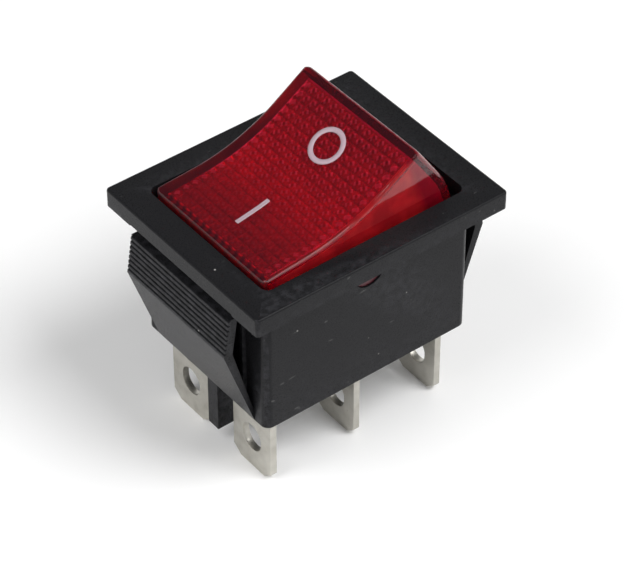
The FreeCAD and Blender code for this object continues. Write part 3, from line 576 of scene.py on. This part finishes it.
def dressed_node(node, name, material, radius):
    """A copy of a CAD node with its hard edges rounded, which stands for that node."""
    bm = node_mesh(node)
    if radius > 0:
        bmesh.ops.bevel(
            bm, geom=sharp_edges(bm, BEVEL_ROOM * radius), offset=radius, offset_type="OFFSET",
            segments=BEVEL_STEPS, profile=0.5, affect="EDGES", clamp_overlap=True, loop_slide=True,
        )
    for face in bm.faces:
        face.material_index = 0
    piece = finish_mesh(bm, name, [material])
    piece.modifiers.new("flat faces", "WEIGHTED_NORMAL").keep_sharp = True
    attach(piece, frame["nodes"][node]["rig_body"])
    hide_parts(node)
    return piece


def turned_piece(name, outline, material, matrix):
    """Turns a half outline of (radius, height) points about Z, then places it."""
    bm = bmesh.new()
    rings = []
    for radius, height in outline:
        around = circle(TURN_STEPS if radius > 0 else 1)
        rings.append([bm.verts.new((radius * x, radius * y, height)) for x, y in around])
    skin_rows(bm, rings)
    bm.transform(matrix)
    return finish_mesh(bm, name, [material])


def wire_piece(name, path, radius, material):
    """A round wire swept along close points, with rounded ends."""
    bm = bmesh.new()
    last = len(path) - 1
    normal = None
    around = circle(WIRE_SIDES)
    rings = []
    for index, place in enumerate(path):
        along = (path[min(index + 1, last)] - path[max(index - 1, 0)]).normalized()
        normal = along.orthogonal() if normal is None else normal - along * normal.dot(along)
        normal.normalize()
        across = along.cross(normal)
        reach = radius * (WIRE_TIP if index in (0, last) else 1.0)
        rings.append([bm.verts.new(place + (normal * x + across * y) * reach) for x, y in around])
    skin_rows(bm, rings)
    bm.faces.new(rings[0])
    bm.faces.new(rings[-1])
    return finish_mesh(bm, name, [material])


# Housing

# The bezel's top corners in millimetres: axis, radius, rounding, height and steps
BEZEL_AXIS = (15.3, 12.15)
BEZEL_CORNER = 0.45
BEZEL_ROUND = 0.25
BEZEL_TOP = 2.15
BEZEL_STEPS = 11
SLACK = 0.001


class HousingSettings(bpy.types.PropertyGroup):
    colour: FloatVectorProperty(
        name="Plastic colour", description="Colour of the black nylon", subtype="COLOR",
        size=3, min=0.0, max=1.0, default=(0.0100, 0.0100, 0.0112),
    )
    roughness: FloatProperty(
        name="Roughness", description="How matt the nylon is", min=0.1, max=0.9, default=0.3,
    )
    edge_radius: FloatProperty(
        name="Edge rounding", description="Radius of the moulded edges", subtype="DISTANCE",
        unit="LENGTH", min=0.0, max=0.0003, default=0.0001,
    )


def corner_vertices(bm, axis):
    """The vertices of the rounding about one of the bezel's corner axes."""
    base = BEZEL_TOP - BEZEL_ROUND
    found = set()
    for vertex in bm.verts:
        place = vertex.co / MM
        near = (place.xy - axis).length < BEZEL_CORNER + SLACK
        if near and base - SLACK < place.z < BEZEL_TOP + SLACK:
            found.add(vertex)
    return found


def corner_profile(vertices, axis):
    """Heights and radii of the rounding, read where the corner meets the long side."""
    profile = []
    for vertex in vertices:
        place = vertex.co / MM
        out = abs(place.y) - abs(axis.y)
        if abs(place.x - axis.x) < SLACK / 2 and out > BEZEL_CORNER - BEZEL_ROUND - SLACK:
            profile.append((place.z, out))
    return sorted(profile)


def rebuild_corner(bm, side_x, side_y):
    """Replaces the faces of one corner's rounding."""
    axis = Vector((side_x * BEZEL_AXIS[0], side_y * BEZEL_AXIS[1]))
    vertices = corner_vertices(bm, axis)
    profile = corner_profile(vertices, axis)
    below_top = (BEZEL_TOP - SLACK) * MM
    spoilt = []
    for face in bm.faces:
        if vertices.issuperset(face.verts) and min(v.co.z for v in face.verts) < below_top:
            spoilt.append(face)
    bmesh.ops.delete(bm, geom=spoilt, context="FACES")
    rows = []
    for height, out in profile:
        row = []
        for y, x in quarter(BEZEL_STEPS):
            place = (axis.x + side_x * out * x, axis.y + side_y * out * y, height)
            row.append(bm.verts.new(Vector(place) * MM))
        rows.append(row)
    skin_rows(bm, rows, closed=False)


def rebuild_bezel_corners(bm):
    """Replaces the corners' rounding, which the frame's mesh folds into the solid."""
    for side_x in (1, -1):
        for side_y in (1, -1):
            rebuild_corner(bm, side_x, side_y)
    bmesh.ops.remove_doubles(bm, verts=bm.verts, dist=WELD)
    bmesh.ops.recalc_face_normals(bm, faces=bm.faces)


class BuildHousing(bpy.types.Operator):
    """Dresses the snap-in housing in textured black nylon with rounded edges"""
    bl_idname = "rocker_switch.build_housing"
    bl_label = "Housing"

    def execute(self, context):
        settings = context.scene.switch_housing
        nylon = black_nylon(settings)
        dressed_node("housing", "housing_moulding", nylon, settings.edge_radius)
        return {"FINISHED"}


# Rocker

# Level and in millimetres
CORNER_ROUND = 0.7
END_REGION = 8.6
PIVOT_REACH = 2.2
HOLLOW_MARGIN = 0.3
RIM_SLACK = 0.02
SIDE_SLACK = 0.01
CUT_SLACK = 0.0001
RAY_HEIGHT = 30

# Shares, steps and the order of the shell's materials
LEVEL_NORMAL = 0.99
PRISM_FLAT = 0.4
CORNER_STEPS = 6
WALL_STEPS = 8
KNEE_STEPS = 4
SKIN, PRISMS, WALLS, PIVOTS = range(4)


class RockerSettings(bpy.types.PropertyGroup):
    skin_colour: FloatVectorProperty(
        name="Skin colour", description="Tint of the clear acrylic", subtype="COLOR",
        size=3, min=0.0, max=1.0, default=(0.82, 0.045, 0.12),
    )
    prism_colour: FloatVectorProperty(
        name="Prism colour", description="Colour of the prisms under the top", subtype="COLOR",
        size=3, min=0.0, max=1.0, default=(0.74, 0.012, 0.055),
    )
    # Painted highlight: the glints are painted into the prisms' colour.
    painted_glint_colour: FloatVectorProperty(
        name="Glint colour", description="Colour of the glints on the prisms' rounded corners",
        subtype="COLOR", size=3, min=0.0, max=1.0, default=(1.0, 0.72, 0.72),
    )
    lining_colour: FloatVectorProperty(
        name="Inner wall colour", description="Colour behind the side walls", subtype="COLOR",
        size=3, min=0.0, max=1.0, default=(0.78, 0.7, 0.26),
    )
    # Painted shade: the darker colour towards the two end walls and in the beads.
    end_shade_colour: FloatVectorProperty(
        name="End wall colour", description="Colour behind the two end walls", subtype="COLOR",
        size=3, min=0.0, max=1.0, default=(0.36, 0.012, 0.15),
    )
    ink_colour: FloatVectorProperty(
        name="Ink colour", description="Colour of the printed marks", subtype="COLOR",
        size=3, min=0.0, max=1.0, default=(0.42, 0.31, 0.355),
    )
    prism_pitch: FloatProperty(
        name="Prism pitch", description="Distance between prisms", subtype="DISTANCE",
        unit="LENGTH", min=0.0005, max=0.003, default=0.0011,
    )
    prism_height: FloatProperty(
        name="Prism height", description="How far the prisms rise into the top",
        subtype="DISTANCE", unit="LENGTH", min=0.0, max=0.0006, default=0.00035,
    )


def node_tree(node):
    """The CAD node's shape for casting rays at."""
    mesh = frame["nodes"][node].data
    return BVHTree.FromPolygons(
        [vertex.co for vertex in mesh.vertices], [list(face.vertices) for face in mesh.polygons]
    )


def top_height(tree, x):
    """Height of the rocker's top over its pivot, level, in millimetres."""
    above = from_level @ (Vector((x, 0, RAY_HEIGHT)) * MM)
    hit = tree.ray_cast(above, -level_up.normalized())[0]
    return (to_level @ hit).z / MM


def inner_path(pitch):
    """Points (x, z) up one end wall, under the top and down the other end."""
    tree = node_tree("rocker")
    columns = round(2 * INNER_HALF_TOP / pitch)
    top = []
    for index in range(columns + 1):
        x = INNER_HALF_TOP * (2 * index / columns - 1)
        top.append((x, top_height(tree, x) - TOP_THICKNESS))
    wall = []
    lowest = math.asin(SKIRT_HEIGHT / INNER_END_RADIUS)
    for index in range(WALL_STEPS + 1):
        angle = lowest + (FLARE_ANGLE - lowest) * index / WALL_STEPS
        wall.append((INNER_END_RADIUS * math.cos(angle), INNER_END_RADIUS * math.sin(angle)))
    knee, corner = Vector(wall[-1]), Vector(INNER_CORNER)
    for index in range(KNEE_STEPS):
        wall.append(tuple(knee.lerp(corner, (index + 1) / KNEE_STEPS)))
    left = [(-x, z) for x, z in wall]
    return left + top + wall[::-1], len(left), len(top)


def strip_hollow(bm):
    """Deletes the hollow and the skirt's underside, which leaves the outer skin."""
    inner = []
    for face in bm.faces:
        inside = all(abs(v.co.y) < INNER_HALF_WIDTH + HOLLOW_MARGIN for v in face.verts)
        low = abs(face.calc_center_median().z - SKIRT_HEIGHT) < RIM_SLACK
        if inside or (low and abs(face.normal.z) > LEVEL_NORMAL):
            inner.append(face)
    bmesh.ops.delete(bm, geom=inner, context="FACES")


def round_plan_corners(bm):
    """Rounds the four upright corners by drawing the end walls in at the sides."""
    start = OUTER_HALF_WIDTH - CORNER_ROUND
    for _, rise in quarter(CORNER_STEPS)[:-1]:
        for side in (1, -1):
            everything = bm.verts[:] + bm.edges[:] + bm.faces[:]
            cut = (0, side * (start + CORNER_ROUND * rise), 0)
            bmesh.ops.bisect_plane(
                bm, geom=everything, dist=CUT_SLACK, plane_co=cut, plane_no=(0, 1, 0)
            )
    for vertex in bm.verts:
        over = min(abs(vertex.co.y) - start, CORNER_ROUND)
        share = min(abs(vertex.co.x) - END_REGION, 1.0)
        if over > 0 and share > 0:
            inward = CORNER_ROUND - math.sqrt(CORNER_ROUND ** 2 - over ** 2)
            vertex.co.x -= math.copysign(inward * share, vertex.co.x)


def add_prism(bm, corners, height):
    """A blunt pyramid on one cell of the ceiling."""
    middle = sum((v.co for v in corners), Vector()) / 4
    lift = Vector((0, 0, height * (1 - PRISM_FLAT)))
    tips = [bm.verts.new(middle.lerp(v.co, PRISM_FLAT) + lift) for v in corners]
    skin_rows(bm, (corners, tips), material=PRISMS)
    bm.faces.new(tips).material_index = PRISMS


def add_lining(bm, settings):
    """The inner walls and the ceiling's prisms; gives the edges of their lower rim."""
    pitch, height = settings.prism_pitch / MM, settings.prism_height / MM
    path, first, count = inner_path(pitch)
    rows = round(2 * INNER_HALF_WIDTH / pitch)
    stations = [INNER_HALF_WIDTH * (2 * index / rows - 1) for index in range(rows + 1)]
    grid = [[bm.verts.new((x, y, z)) for y in stations] for x, z in path]
    for column, (lower, upper) in enumerate(zip(grid, grid[1:])):
        for row in range(rows):
            corners = [lower[row], lower[row + 1], upper[row + 1], upper[row]]
            if first <= column < first + count - 1:
                add_prism(bm, corners, height)
            else:
                bm.faces.new(corners).material_index = WALLS
    rim = []
    for column in (grid[0], grid[-1]):
        rim += [bm.edges.get(pair) for pair in zip(column, column[1:])]
    for row in (0, rows):
        bm.faces.new([column[row] for column in grid]).material_index = WALLS
        rim.append(bm.edges.get((grid[0][row], grid[-1][row])))
    return rim


def is_pivot(face):
    """Whether a face of the level rocker belongs to a pivot stub."""
    outside = all(abs(v.co.y) > OUTER_HALF_WIDTH - SIDE_SLACK for v in face.verts)
    return outside and max(math.hypot(v.co.x, v.co.z) for v in face.verts) < PIVOT_REACH


def rocker_shell(settings):
    """The rocker's outside from the CAD node, with its own inner walls and prisms."""
    bm = node_mesh("rocker")
    bm.transform(Matrix.Scale(1 / MM, 4) @ to_level)
    strip_hollow(bm)
    round_plan_corners(bm)
    for face in bm.faces:
        face.material_index = PIVOTS if is_pivot(face) else SKIN
    rim = [edge for edge in bm.edges if edge.is_boundary]
    rim += add_lining(bm, settings)
    bmesh.ops.triangle_fill(bm, use_beauty=True, edges=rim)
    bm.transform(from_level @ Matrix.Scale(MM, 4))
    return bm


# Printed marks, level and in millimetres
MARK_LIFT = 0.015
I_BAR = {"start": -7.1, "end": -2.93, "middle": -0.25, "width": 0.52, "lean": 0.07, "bulge": 0.15}
O_RING = {"middle": (5.1, 0.1), "inner": 1.5, "outer": 2.07}
RING_STEPS = 72
BAR_END_STEPS = 8
BAR_SIDE_STEPS = 12


def mark_piece(name, loops, tree, ink):
    """A thin printed film laid on the rocker's top between loops."""
    bm = bmesh.new()
    rows = []
    for loop in loops:
        rows.append([bm.verts.new((x, y, top_height(tree, x) + MARK_LIFT)) for x, y in loop])
    skin_rows(bm, rows)
    bm.transform(from_level @ Matrix.Scale(MM, 4))
    piece = finish_mesh(bm, name, [ink])
    thick = piece.modifiers.new("ink film", "SOLIDIFY")
    thick.thickness = MARK_LIFT * MM
    thick.offset = 0.0
    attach(piece, "rocker_group")
    return piece


def ring_loops():
    """The O, as three circles from its inner edge to its outer one."""
    middle, inner, outer = Vector(O_RING["middle"]), O_RING["inner"], O_RING["outer"]
    around = [Vector(point) for point in circle(RING_STEPS)]
    radii = (inner, (inner + outer) / 2, outer)
    return [[tuple(middle + point * radius) for point in around] for radius in radii]


def bar_loops():
    """The I, as loops from its outline in to its middle line."""
    half = I_BAR["width"] / 2
    bulge = half * I_BAR["bulge"]
    middle = (I_BAR["start"] + I_BAR["end"]) / 2
    reach = (I_BAR["end"] - I_BAR["start"]) / 2 - bulge
    loops = []
    for share in (1.0, 0.5, 0.04):
        loop = []
        for end in (1, -1):
            for step in range(BAR_END_STEPS + 1):
                angle = math.pi * (step / BAR_END_STEPS - 0.5)
                out = reach + bulge * share * math.cos(angle)
                loop.append((end * out, end * half * share * math.sin(angle)))
            for step in range(1, BAR_SIDE_STEPS):
                x = end * reach * (1 - 2 * step / BAR_SIDE_STEPS)
                loop.append((x, end * half * share))
        lean, shift = I_BAR["lean"], I_BAR["middle"]
        loops.append([(middle + x, y + shift + x * lean) for x, y in loop])
    return loops


class BuildRocker(bpy.types.Operator):
    """Builds the clear red rocker with its prisms, and prints the two marks on it"""
    bl_idname = "rocker_switch.build_rocker"
    bl_label = "Rocker"

    def execute(self, context):
        settings = context.scene.switch_rocker
        bm = rocker_shell(settings)
        materials = [clear_red(settings), prism_red(settings), lining_red(settings)]
        # Painted shade: the pivot stubs are near-black red, so that their notches in the housing
        # read dark.
        materials.append(moulded_plastic("red_pivots_in_painted_shade", (0.06, 0.004, 0.01), 0.4))
        piece = finish_mesh(bm, "rocker_cap", materials, sharp_angle=25.0)
        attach(piece, "rocker_group")
        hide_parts("rocker")
        tree = node_tree("rocker")
        ink = printed_ink(settings)
        mark_piece("mark_on", bar_loops(), tree, ink)
        mark_piece("mark_off", ring_loops(), tree, ink)
        return {"FINISHED"}


# Terminals and contacts

class MetalSettings(bpy.types.PropertyGroup):
    terminal_colour: FloatVectorProperty(
        name="Terminal colour", description="Tinned brass of the blades", subtype="COLOR",
        size=3, min=0.0, max=1.0, default=(0.5, 0.485, 0.44),
    )
    contact_colour: FloatVectorProperty(
        name="Contact colour", description="Silver of the contact faces", subtype="COLOR",
        size=3, min=0.0, max=1.0, default=(0.86, 0.85, 0.82),
    )
    arm_colour: FloatVectorProperty(
        name="Arm colour", description="Copper alloy of the seesaw arms", subtype="COLOR",
        size=3, min=0.0, max=1.0, default=(0.72, 0.42, 0.22),
    )
    stamped_edge: FloatProperty(
        name="Stamped edge", description="Rounding of the stamped edges", subtype="DISTANCE",
        unit="LENGTH", min=0.0, max=0.0002, default=0.00008,
    )


# Colours of the stains
TIN_STAIN = (0.38, 0.36, 0.32)
COPPER_STAIN = (0.5, 0.27, 0.14)
SILVER_STAIN = (0.6, 0.56, 0.5)


def nodes_named(*words):
    return [name for name in sorted(frame["nodes"]) if any(word in name for word in words)]


class BuildTerminals(bpy.types.Operator):
    """Dresses the six blade terminals in stamped tinned brass"""
    bl_idname = "rocker_switch.build_terminals"
    bl_label = "Terminals"

    def execute(self, context):
        settings = context.scene.switch_metal
        tinned = plain_metal("tinned_brass", settings.terminal_colour, 0.36, TIN_STAIN)
        for node in nodes_named("terminal"):
            dressed_node(node, f"{node}_blade", tinned, settings.stamped_edge)
        return {"FINISHED"}


class BuildContacts(bpy.types.Operator):
    """Dresses the seesaw arms and the silver contacts"""
    bl_idname = "rocker_switch.build_contacts"
    bl_label = "Contacts"

    def execute(self, context):
        settings = context.scene.switch_metal
        copper = plain_metal("copper_alloy", settings.arm_colour, 0.36, COPPER_STAIN, ALONG_X)
        silver = plain_metal("contact_silver", settings.contact_colour, 0.28, SILVER_STAIN, EVEN)
        for node in nodes_named("seesaw"):
            dressed_node(node, f"{node}_arm", copper, settings.stamped_edge)
        for node in nodes_named("contact_left", "contact_right"):
            dressed_node(node, f"{node}_face", silver, settings.stamped_edge)
        return {"FINISHED"}


# Inside the rocker

# In millimetres
GLASS_WALL = 0.35
GLASS_VENT = 0.05

# Turns of a coil's closed ends, and their rise as a share of its wire's radius
COIL_STEPS = 32
COIL_FLAT_TURNS = 0.9
COIL_CLOSED_RISE = 2.1

# Shares of the lamp's radius
FOOT_SHARE = 0.25
FOOT_DEPTH = 0.55
DOME_DEPTH = 0.8

PLUNGER_EDGE = 0.06 * MM
CARRIER_EDGE = 0.08 * MM
RESISTOR_EDGE = 0.04 * MM


class InsideSettings(bpy.types.PropertyGroup):
    coil_turns: FloatProperty(
        name="Spring turns", description="Number of turns in each spring", min=2.0, max=12.0,
        default=7.0,
    )
    coil_wire: FloatProperty(
        name="Spring wire", description="Radius of the spring's wire", subtype="DISTANCE",
        unit="LENGTH", min=0.00005, max=0.0003, default=0.00017,
    )
    coil_radius: FloatProperty(
        name="Spring radius", description="Radius of the spring to its wire's middle",
        subtype="DISTANCE", unit="LENGTH", min=0.0005, max=0.0011, default=0.00095,
    )
    glass_steps: IntProperty(
        name="Lamp end steps", description="Steps round each end of the lamp", min=3, max=16,
        default=8,
    )


def level_span(node):
    """The node's lowest and highest corner, level, in millimetres from the pivot."""
    corners = [to_level @ vertex.co / MM for vertex in frame["nodes"][node].data.vertices]
    return [Vector([pick(values) for values in zip(*corners)]) for pick in (min, max)]


def coil_points(low, high, settings):
    """Points along a coil spring with closed flat end turns."""
    middle = (low + high) / 2
    wire, radius = settings.coil_wire / MM, settings.coil_radius / MM
    total = round(settings.coil_turns * COIL_STEPS)
    flat = COIL_STEPS * COIL_FLAT_TURNS
    closing = COIL_CLOSED_RISE * wire
    start, end = low.z + wire, high.z - wire
    points = []
    for step in range(total + 1):
        share = min(max((step - flat) / (total - 2 * flat), 0.0), 1.0)
        lead_in = min(step, flat) / flat * closing
        lead_out = max(step - (total - flat), 0.0) / flat * closing
        z = start + lead_in + (end - start - 2 * closing) * share + lead_out
        angle = 2 * math.pi * step / COIL_STEPS
        x, y = middle.x + radius * math.cos(angle), middle.y + radius * math.sin(angle)
        points.append(from_level @ (Vector((x, y, z)) * MM))
    return points


class BuildSprings(bpy.types.Operator):
    """Winds the two plunger springs and dresses the plungers"""
    bl_idname = "rocker_switch.build_springs"
    bl_label = "Plungers and springs"

    def execute(self, context):
        settings = context.scene.switch_inside
        steel = plain_metal("spring_steel", (0.56, 0.56, 0.57), 0.3, (0.4, 0.39, 0.38), EVEN)
        white = moulded_plastic("white_acetal", (0.78, 0.77, 0.73), 0.42)
        for pole in ("front", "rear"):
            low, high = level_span(f"spring_{pole}")
            points = coil_points(low, high, settings)
            coil = wire_piece(f"spring_{pole}_coil", points, settings.coil_wire, steel)
            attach(coil, "rocker_group")
            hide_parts(f"spring_{pole}")
            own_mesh(coil)
            pin = f"plunger_{pole}_pin"
            dressed_node(f"plunger_{pole}", pin, white, PLUNGER_EDGE)
        return {"FINISHED"}


def lamp_outline(low, high, steps):
    """Half outline of the hollow glass: its outside from the top down, then its inside."""
    length = high.x - low.x
    radius = (high.y - low.y) / 2
    outside = [(GLASS_VENT, 0.0)]
    for y, x in quarter(steps)[1:]:
        flare = FOOT_SHARE + (1 - FOOT_SHARE) * x
        outside.append((radius * flare, radius * FOOT_DEPTH * (1 - y)))
    for x, y in quarter(steps):
        outside.append((radius * x, length - radius * DOME_DEPTH * (1 - y)))
    outside[-1] = (0.0, length)
    shorter = (length - 2 * GLASS_WALL) / length
    inside = [(max(r - GLASS_WALL, GLASS_VENT), GLASS_WALL + z * shorter) for r, z in outside[:-1]]
    return outside[::-1] + inside + [(0.0, length - GLASS_WALL)]


class BuildLamp(bpy.types.Operator):
    """Dresses the lamp, its leads and resistor, and the carrier that clips them"""
    bl_idname = "rocker_switch.build_lamp"
    bl_label = "Lamp and carrier"

    def execute(self, context):
        settings = context.scene.switch_inside
        white = moulded_plastic("reflector_white", (0.8, 0.79, 0.75), 0.45)
        dressed_node("lamp_carrier", "lamp_carrier_moulding", white, CARRIER_EDGE)
        low, high = level_span("lamp_glass")
        outline = [(r * MM, z * MM) for r, z in lamp_outline(low, high, settings.glass_steps)]
        foot = Vector((low.x, (low.y + high.y) / 2, (low.z + high.z) / 2)) * MM
        lying = Matrix.Translation(foot) @ Matrix.Rotation(math.pi / 2, 4, "Y")
        glass = turned_piece("lamp_bulb", outline, thin_glass(), from_level @ lying)
        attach(glass, "rocker_group")
        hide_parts("lamp_glass")
        nickel = plain_metal("nickel_wire", (0.66, 0.64, 0.6), 0.3, (0.5, 0.47, 0.43), EVEN)
        for pole in ("front", "rear"):
            dressed_node(f"electrode_{pole}", f"electrode_{pole}_lead", nickel, 0.0)
        coat = moulded_plastic("resistor_coat", (0.62, 0.48, 0.3), 0.38)
        dressed_node("resistor", "resistor_body", coat, RESISTOR_EDGE)
        return {"FINISHED"}


# Stage

# The photograph's angles in degrees, its distance in metres and its lens in millimetres
VIEW = {"azimuth": -38.11, "elevation": 41.934, "roll": 0.102, "distance": 0.302335}
VIEW_SHIFT = (0.001348, -0.008243)
VIEW_LENS = 169.377
VIEW_SENSOR = 36.0
VIEW_NEAREST = 0.01

# Azimuth and elevation of each lamp in degrees, and its share of the power
LAMPS = {"lamp_left": (-95, 50, 0.6), "lamp_right": (25, 55, 1.2)}
LAMP_DISTANCE = 0.6
LAMP_SIZE = 0.35
SKY_BAND = (0.42, 0.62)
FLOOR_REACH = 3.0


class StageSettings(bpy.types.PropertyGroup):
    floor_colour: FloatVectorProperty(
        name="Floor colour", description="Colour of the plain floor", subtype="COLOR",
        size=3, min=0.0, max=1.0, default=(0.97, 0.97, 0.97),
    )
    sky_low: FloatProperty(
        name="Horizon light", description="Strength of the light near the horizon",
        min=0.0, max=2.0, default=1.0,
    )
    sky_high: FloatProperty(
        name="Overhead light", description="Strength of the light from above", min=0.0,
        max=2.0, default=0.1,
    )
    lamp_power: FloatProperty(
        name="Lamp power", description="Power of each soft lamp", subtype="POWER",
        min=0.0, max=10.0, default=2.35,
    )


def direction(azimuth, elevation):
    """Unit vector towards an azimuth and an elevation in degrees."""
    azimuth, elevation = math.radians(azimuth), math.radians(elevation)
    flat = math.cos(elevation)
    return Vector((math.sin(azimuth) * flat, -math.cos(azimuth) * flat, math.sin(elevation)))


def add_camera(scene):
    """The camera, at the photograph's viewpoint."""
    back = direction(VIEW["azimuth"], VIEW["elevation"])
    right = UP.cross(back).normalized()
    turn = Matrix.Rotation(math.radians(VIEW["roll"]), 3, back)
    right, up = turn @ right, turn @ back.cross(right)
    camera = bpy.data.objects.new("camera", bpy.data.cameras.new("camera"))
    camera.data.lens = VIEW_LENS
    camera.data.sensor_width = VIEW_SENSOR
    camera.data.clip_start = VIEW_NEAREST
    place = right * VIEW_SHIFT[0] + up * VIEW_SHIFT[1] + back * VIEW["distance"]
    axes = Matrix((right, up, back)).transposed().to_4x4()
    camera.matrix_world = Matrix.Translation(place) @ axes
    scene.collection.objects.link(camera)
    scene.camera = camera


def add_lamp(scene, name, back, power):
    """A soft round lamp that points at the part."""
    lamp = bpy.data.lights.new(name, "AREA")
    lamp.shape = "DISK"
    lamp.size = LAMP_SIZE
    lamp.energy = power
    item = bpy.data.objects.new(name, lamp)
    item.location = back * LAMP_DISTANCE
    item.rotation_euler = back.to_track_quat("Z", "Y").to_euler()
    scene.collection.objects.link(item)


def add_world(scene, settings):
    """White near the horizon and dim overhead, like a cove under a dark ceiling."""
    world = bpy.data.worlds.new("studio")
    scene.world = world
    world.use_nodes = True
    tree = world.node_tree
    height = split_axes(tree, add_node(tree, "ShaderNodeTexCoord").outputs["Generated"])[2]
    level = span(tree, height, *SKY_BAND, settings.sky_low, settings.sky_high)
    feed(tree, tree.nodes["Background"], Color=rgba((1.0, 1.0, 1.0)), Strength=level)


def add_floor(scene, settings, height):
    """A plain pale floor under the part's lowest point."""
    material, tree, shader = new_material("pale_floor")
    tone = span(tree, noise(tree, object_place(tree), scale=3.0), 0.2, 0.8)
    colour = shades(tree, tone, settings.floor_colour, 0.995, 1.0)
    feed(tree, shader, Base_Color=colour, Roughness=0.9, Specular_IOR_Level=0.1)
    bm = bmesh.new()
    bmesh.ops.create_grid(bm, x_segments=1, y_segments=1, size=FLOOR_REACH)
    bm.transform(Matrix.Translation((0, 0, height)))
    finish_mesh(bm, "floor", [material])


class BuildStage(bpy.types.Operator):
    """Sets the plain floor, the soft lamps and the camera at the photograph's angle"""
    bl_idname = "rocker_switch.build_stage"
    bl_label = "Stage"

    def execute(self, context):
        scene = context.scene
        settings = scene.switch_stage
        add_floor(scene, settings, cad_box[0][2])
        add_world(scene, settings)
        for name, (azimuth, elevation, share) in LAMPS.items():
            add_lamp(scene, name, direction(azimuth, elevation), settings.lamp_power * share)
        add_camera(scene)
        scene.view_settings.view_transform = "Standard"
        return {"FINISHED"}


# Add-on

class SwitchPanel(bpy.types.Panel):
    bl_idname = "VIEW3D_PT_rocker_switch"
    bl_label = "Panel rocker switch"
    bl_space_type = "VIEW_3D"
    bl_region_type = "UI"
    bl_category = "Switch"

    def draw(self, context):
        for name, group in GROUPS.items():
            box = self.layout.box()
            for operator, settings in PARTS:
                if settings == name:
                    box.operator(operator.bl_idname)
            for item in group.__annotations__:
                box.prop(getattr(context.scene, name), item)


PARTS = (
    (BuildStage, "switch_stage"),
    (BuildHousing, "switch_housing"),
    (BuildRocker, "switch_rocker"),
    (BuildTerminals, "switch_metal"),
    (BuildContacts, "switch_metal"),
    (BuildSprings, "switch_inside"),
    (BuildLamp, "switch_inside"),
)
GROUPS = {
    "switch_stage": StageSettings,
    "switch_housing": HousingSettings,
    "switch_rocker": RockerSettings,
    "switch_metal": MetalSettings,
    "switch_inside": InsideSettings,
}


def register():
    for name, group in GROUPS.items():
        bpy.utils.register_class(group)
        setattr(bpy.types.Scene, name, PointerProperty(type=group))
    for operator, _ in PARTS:
        bpy.utils.register_class(operator)
    bpy.utils.register_class(SwitchPanel)


def unregister():
    bpy.utils.unregister_class(SwitchPanel)
    for operator, _ in reversed(PARTS):
        bpy.utils.unregister_class(operator)
    for name, group in GROUPS.items():
        delattr(bpy.types.Scene, name)
        bpy.utils.unregister_class(group)


def main():
    register()
    build_grain_group()
    build_wear_group()
    build_dust_group()
    build_rolled_group()
    for operator, _ in PARTS:
        area, name = operator.bl_idname.split(".")
        getattr(getattr(bpy.ops, area), name)()


if __name__ == "__main__":
    main()
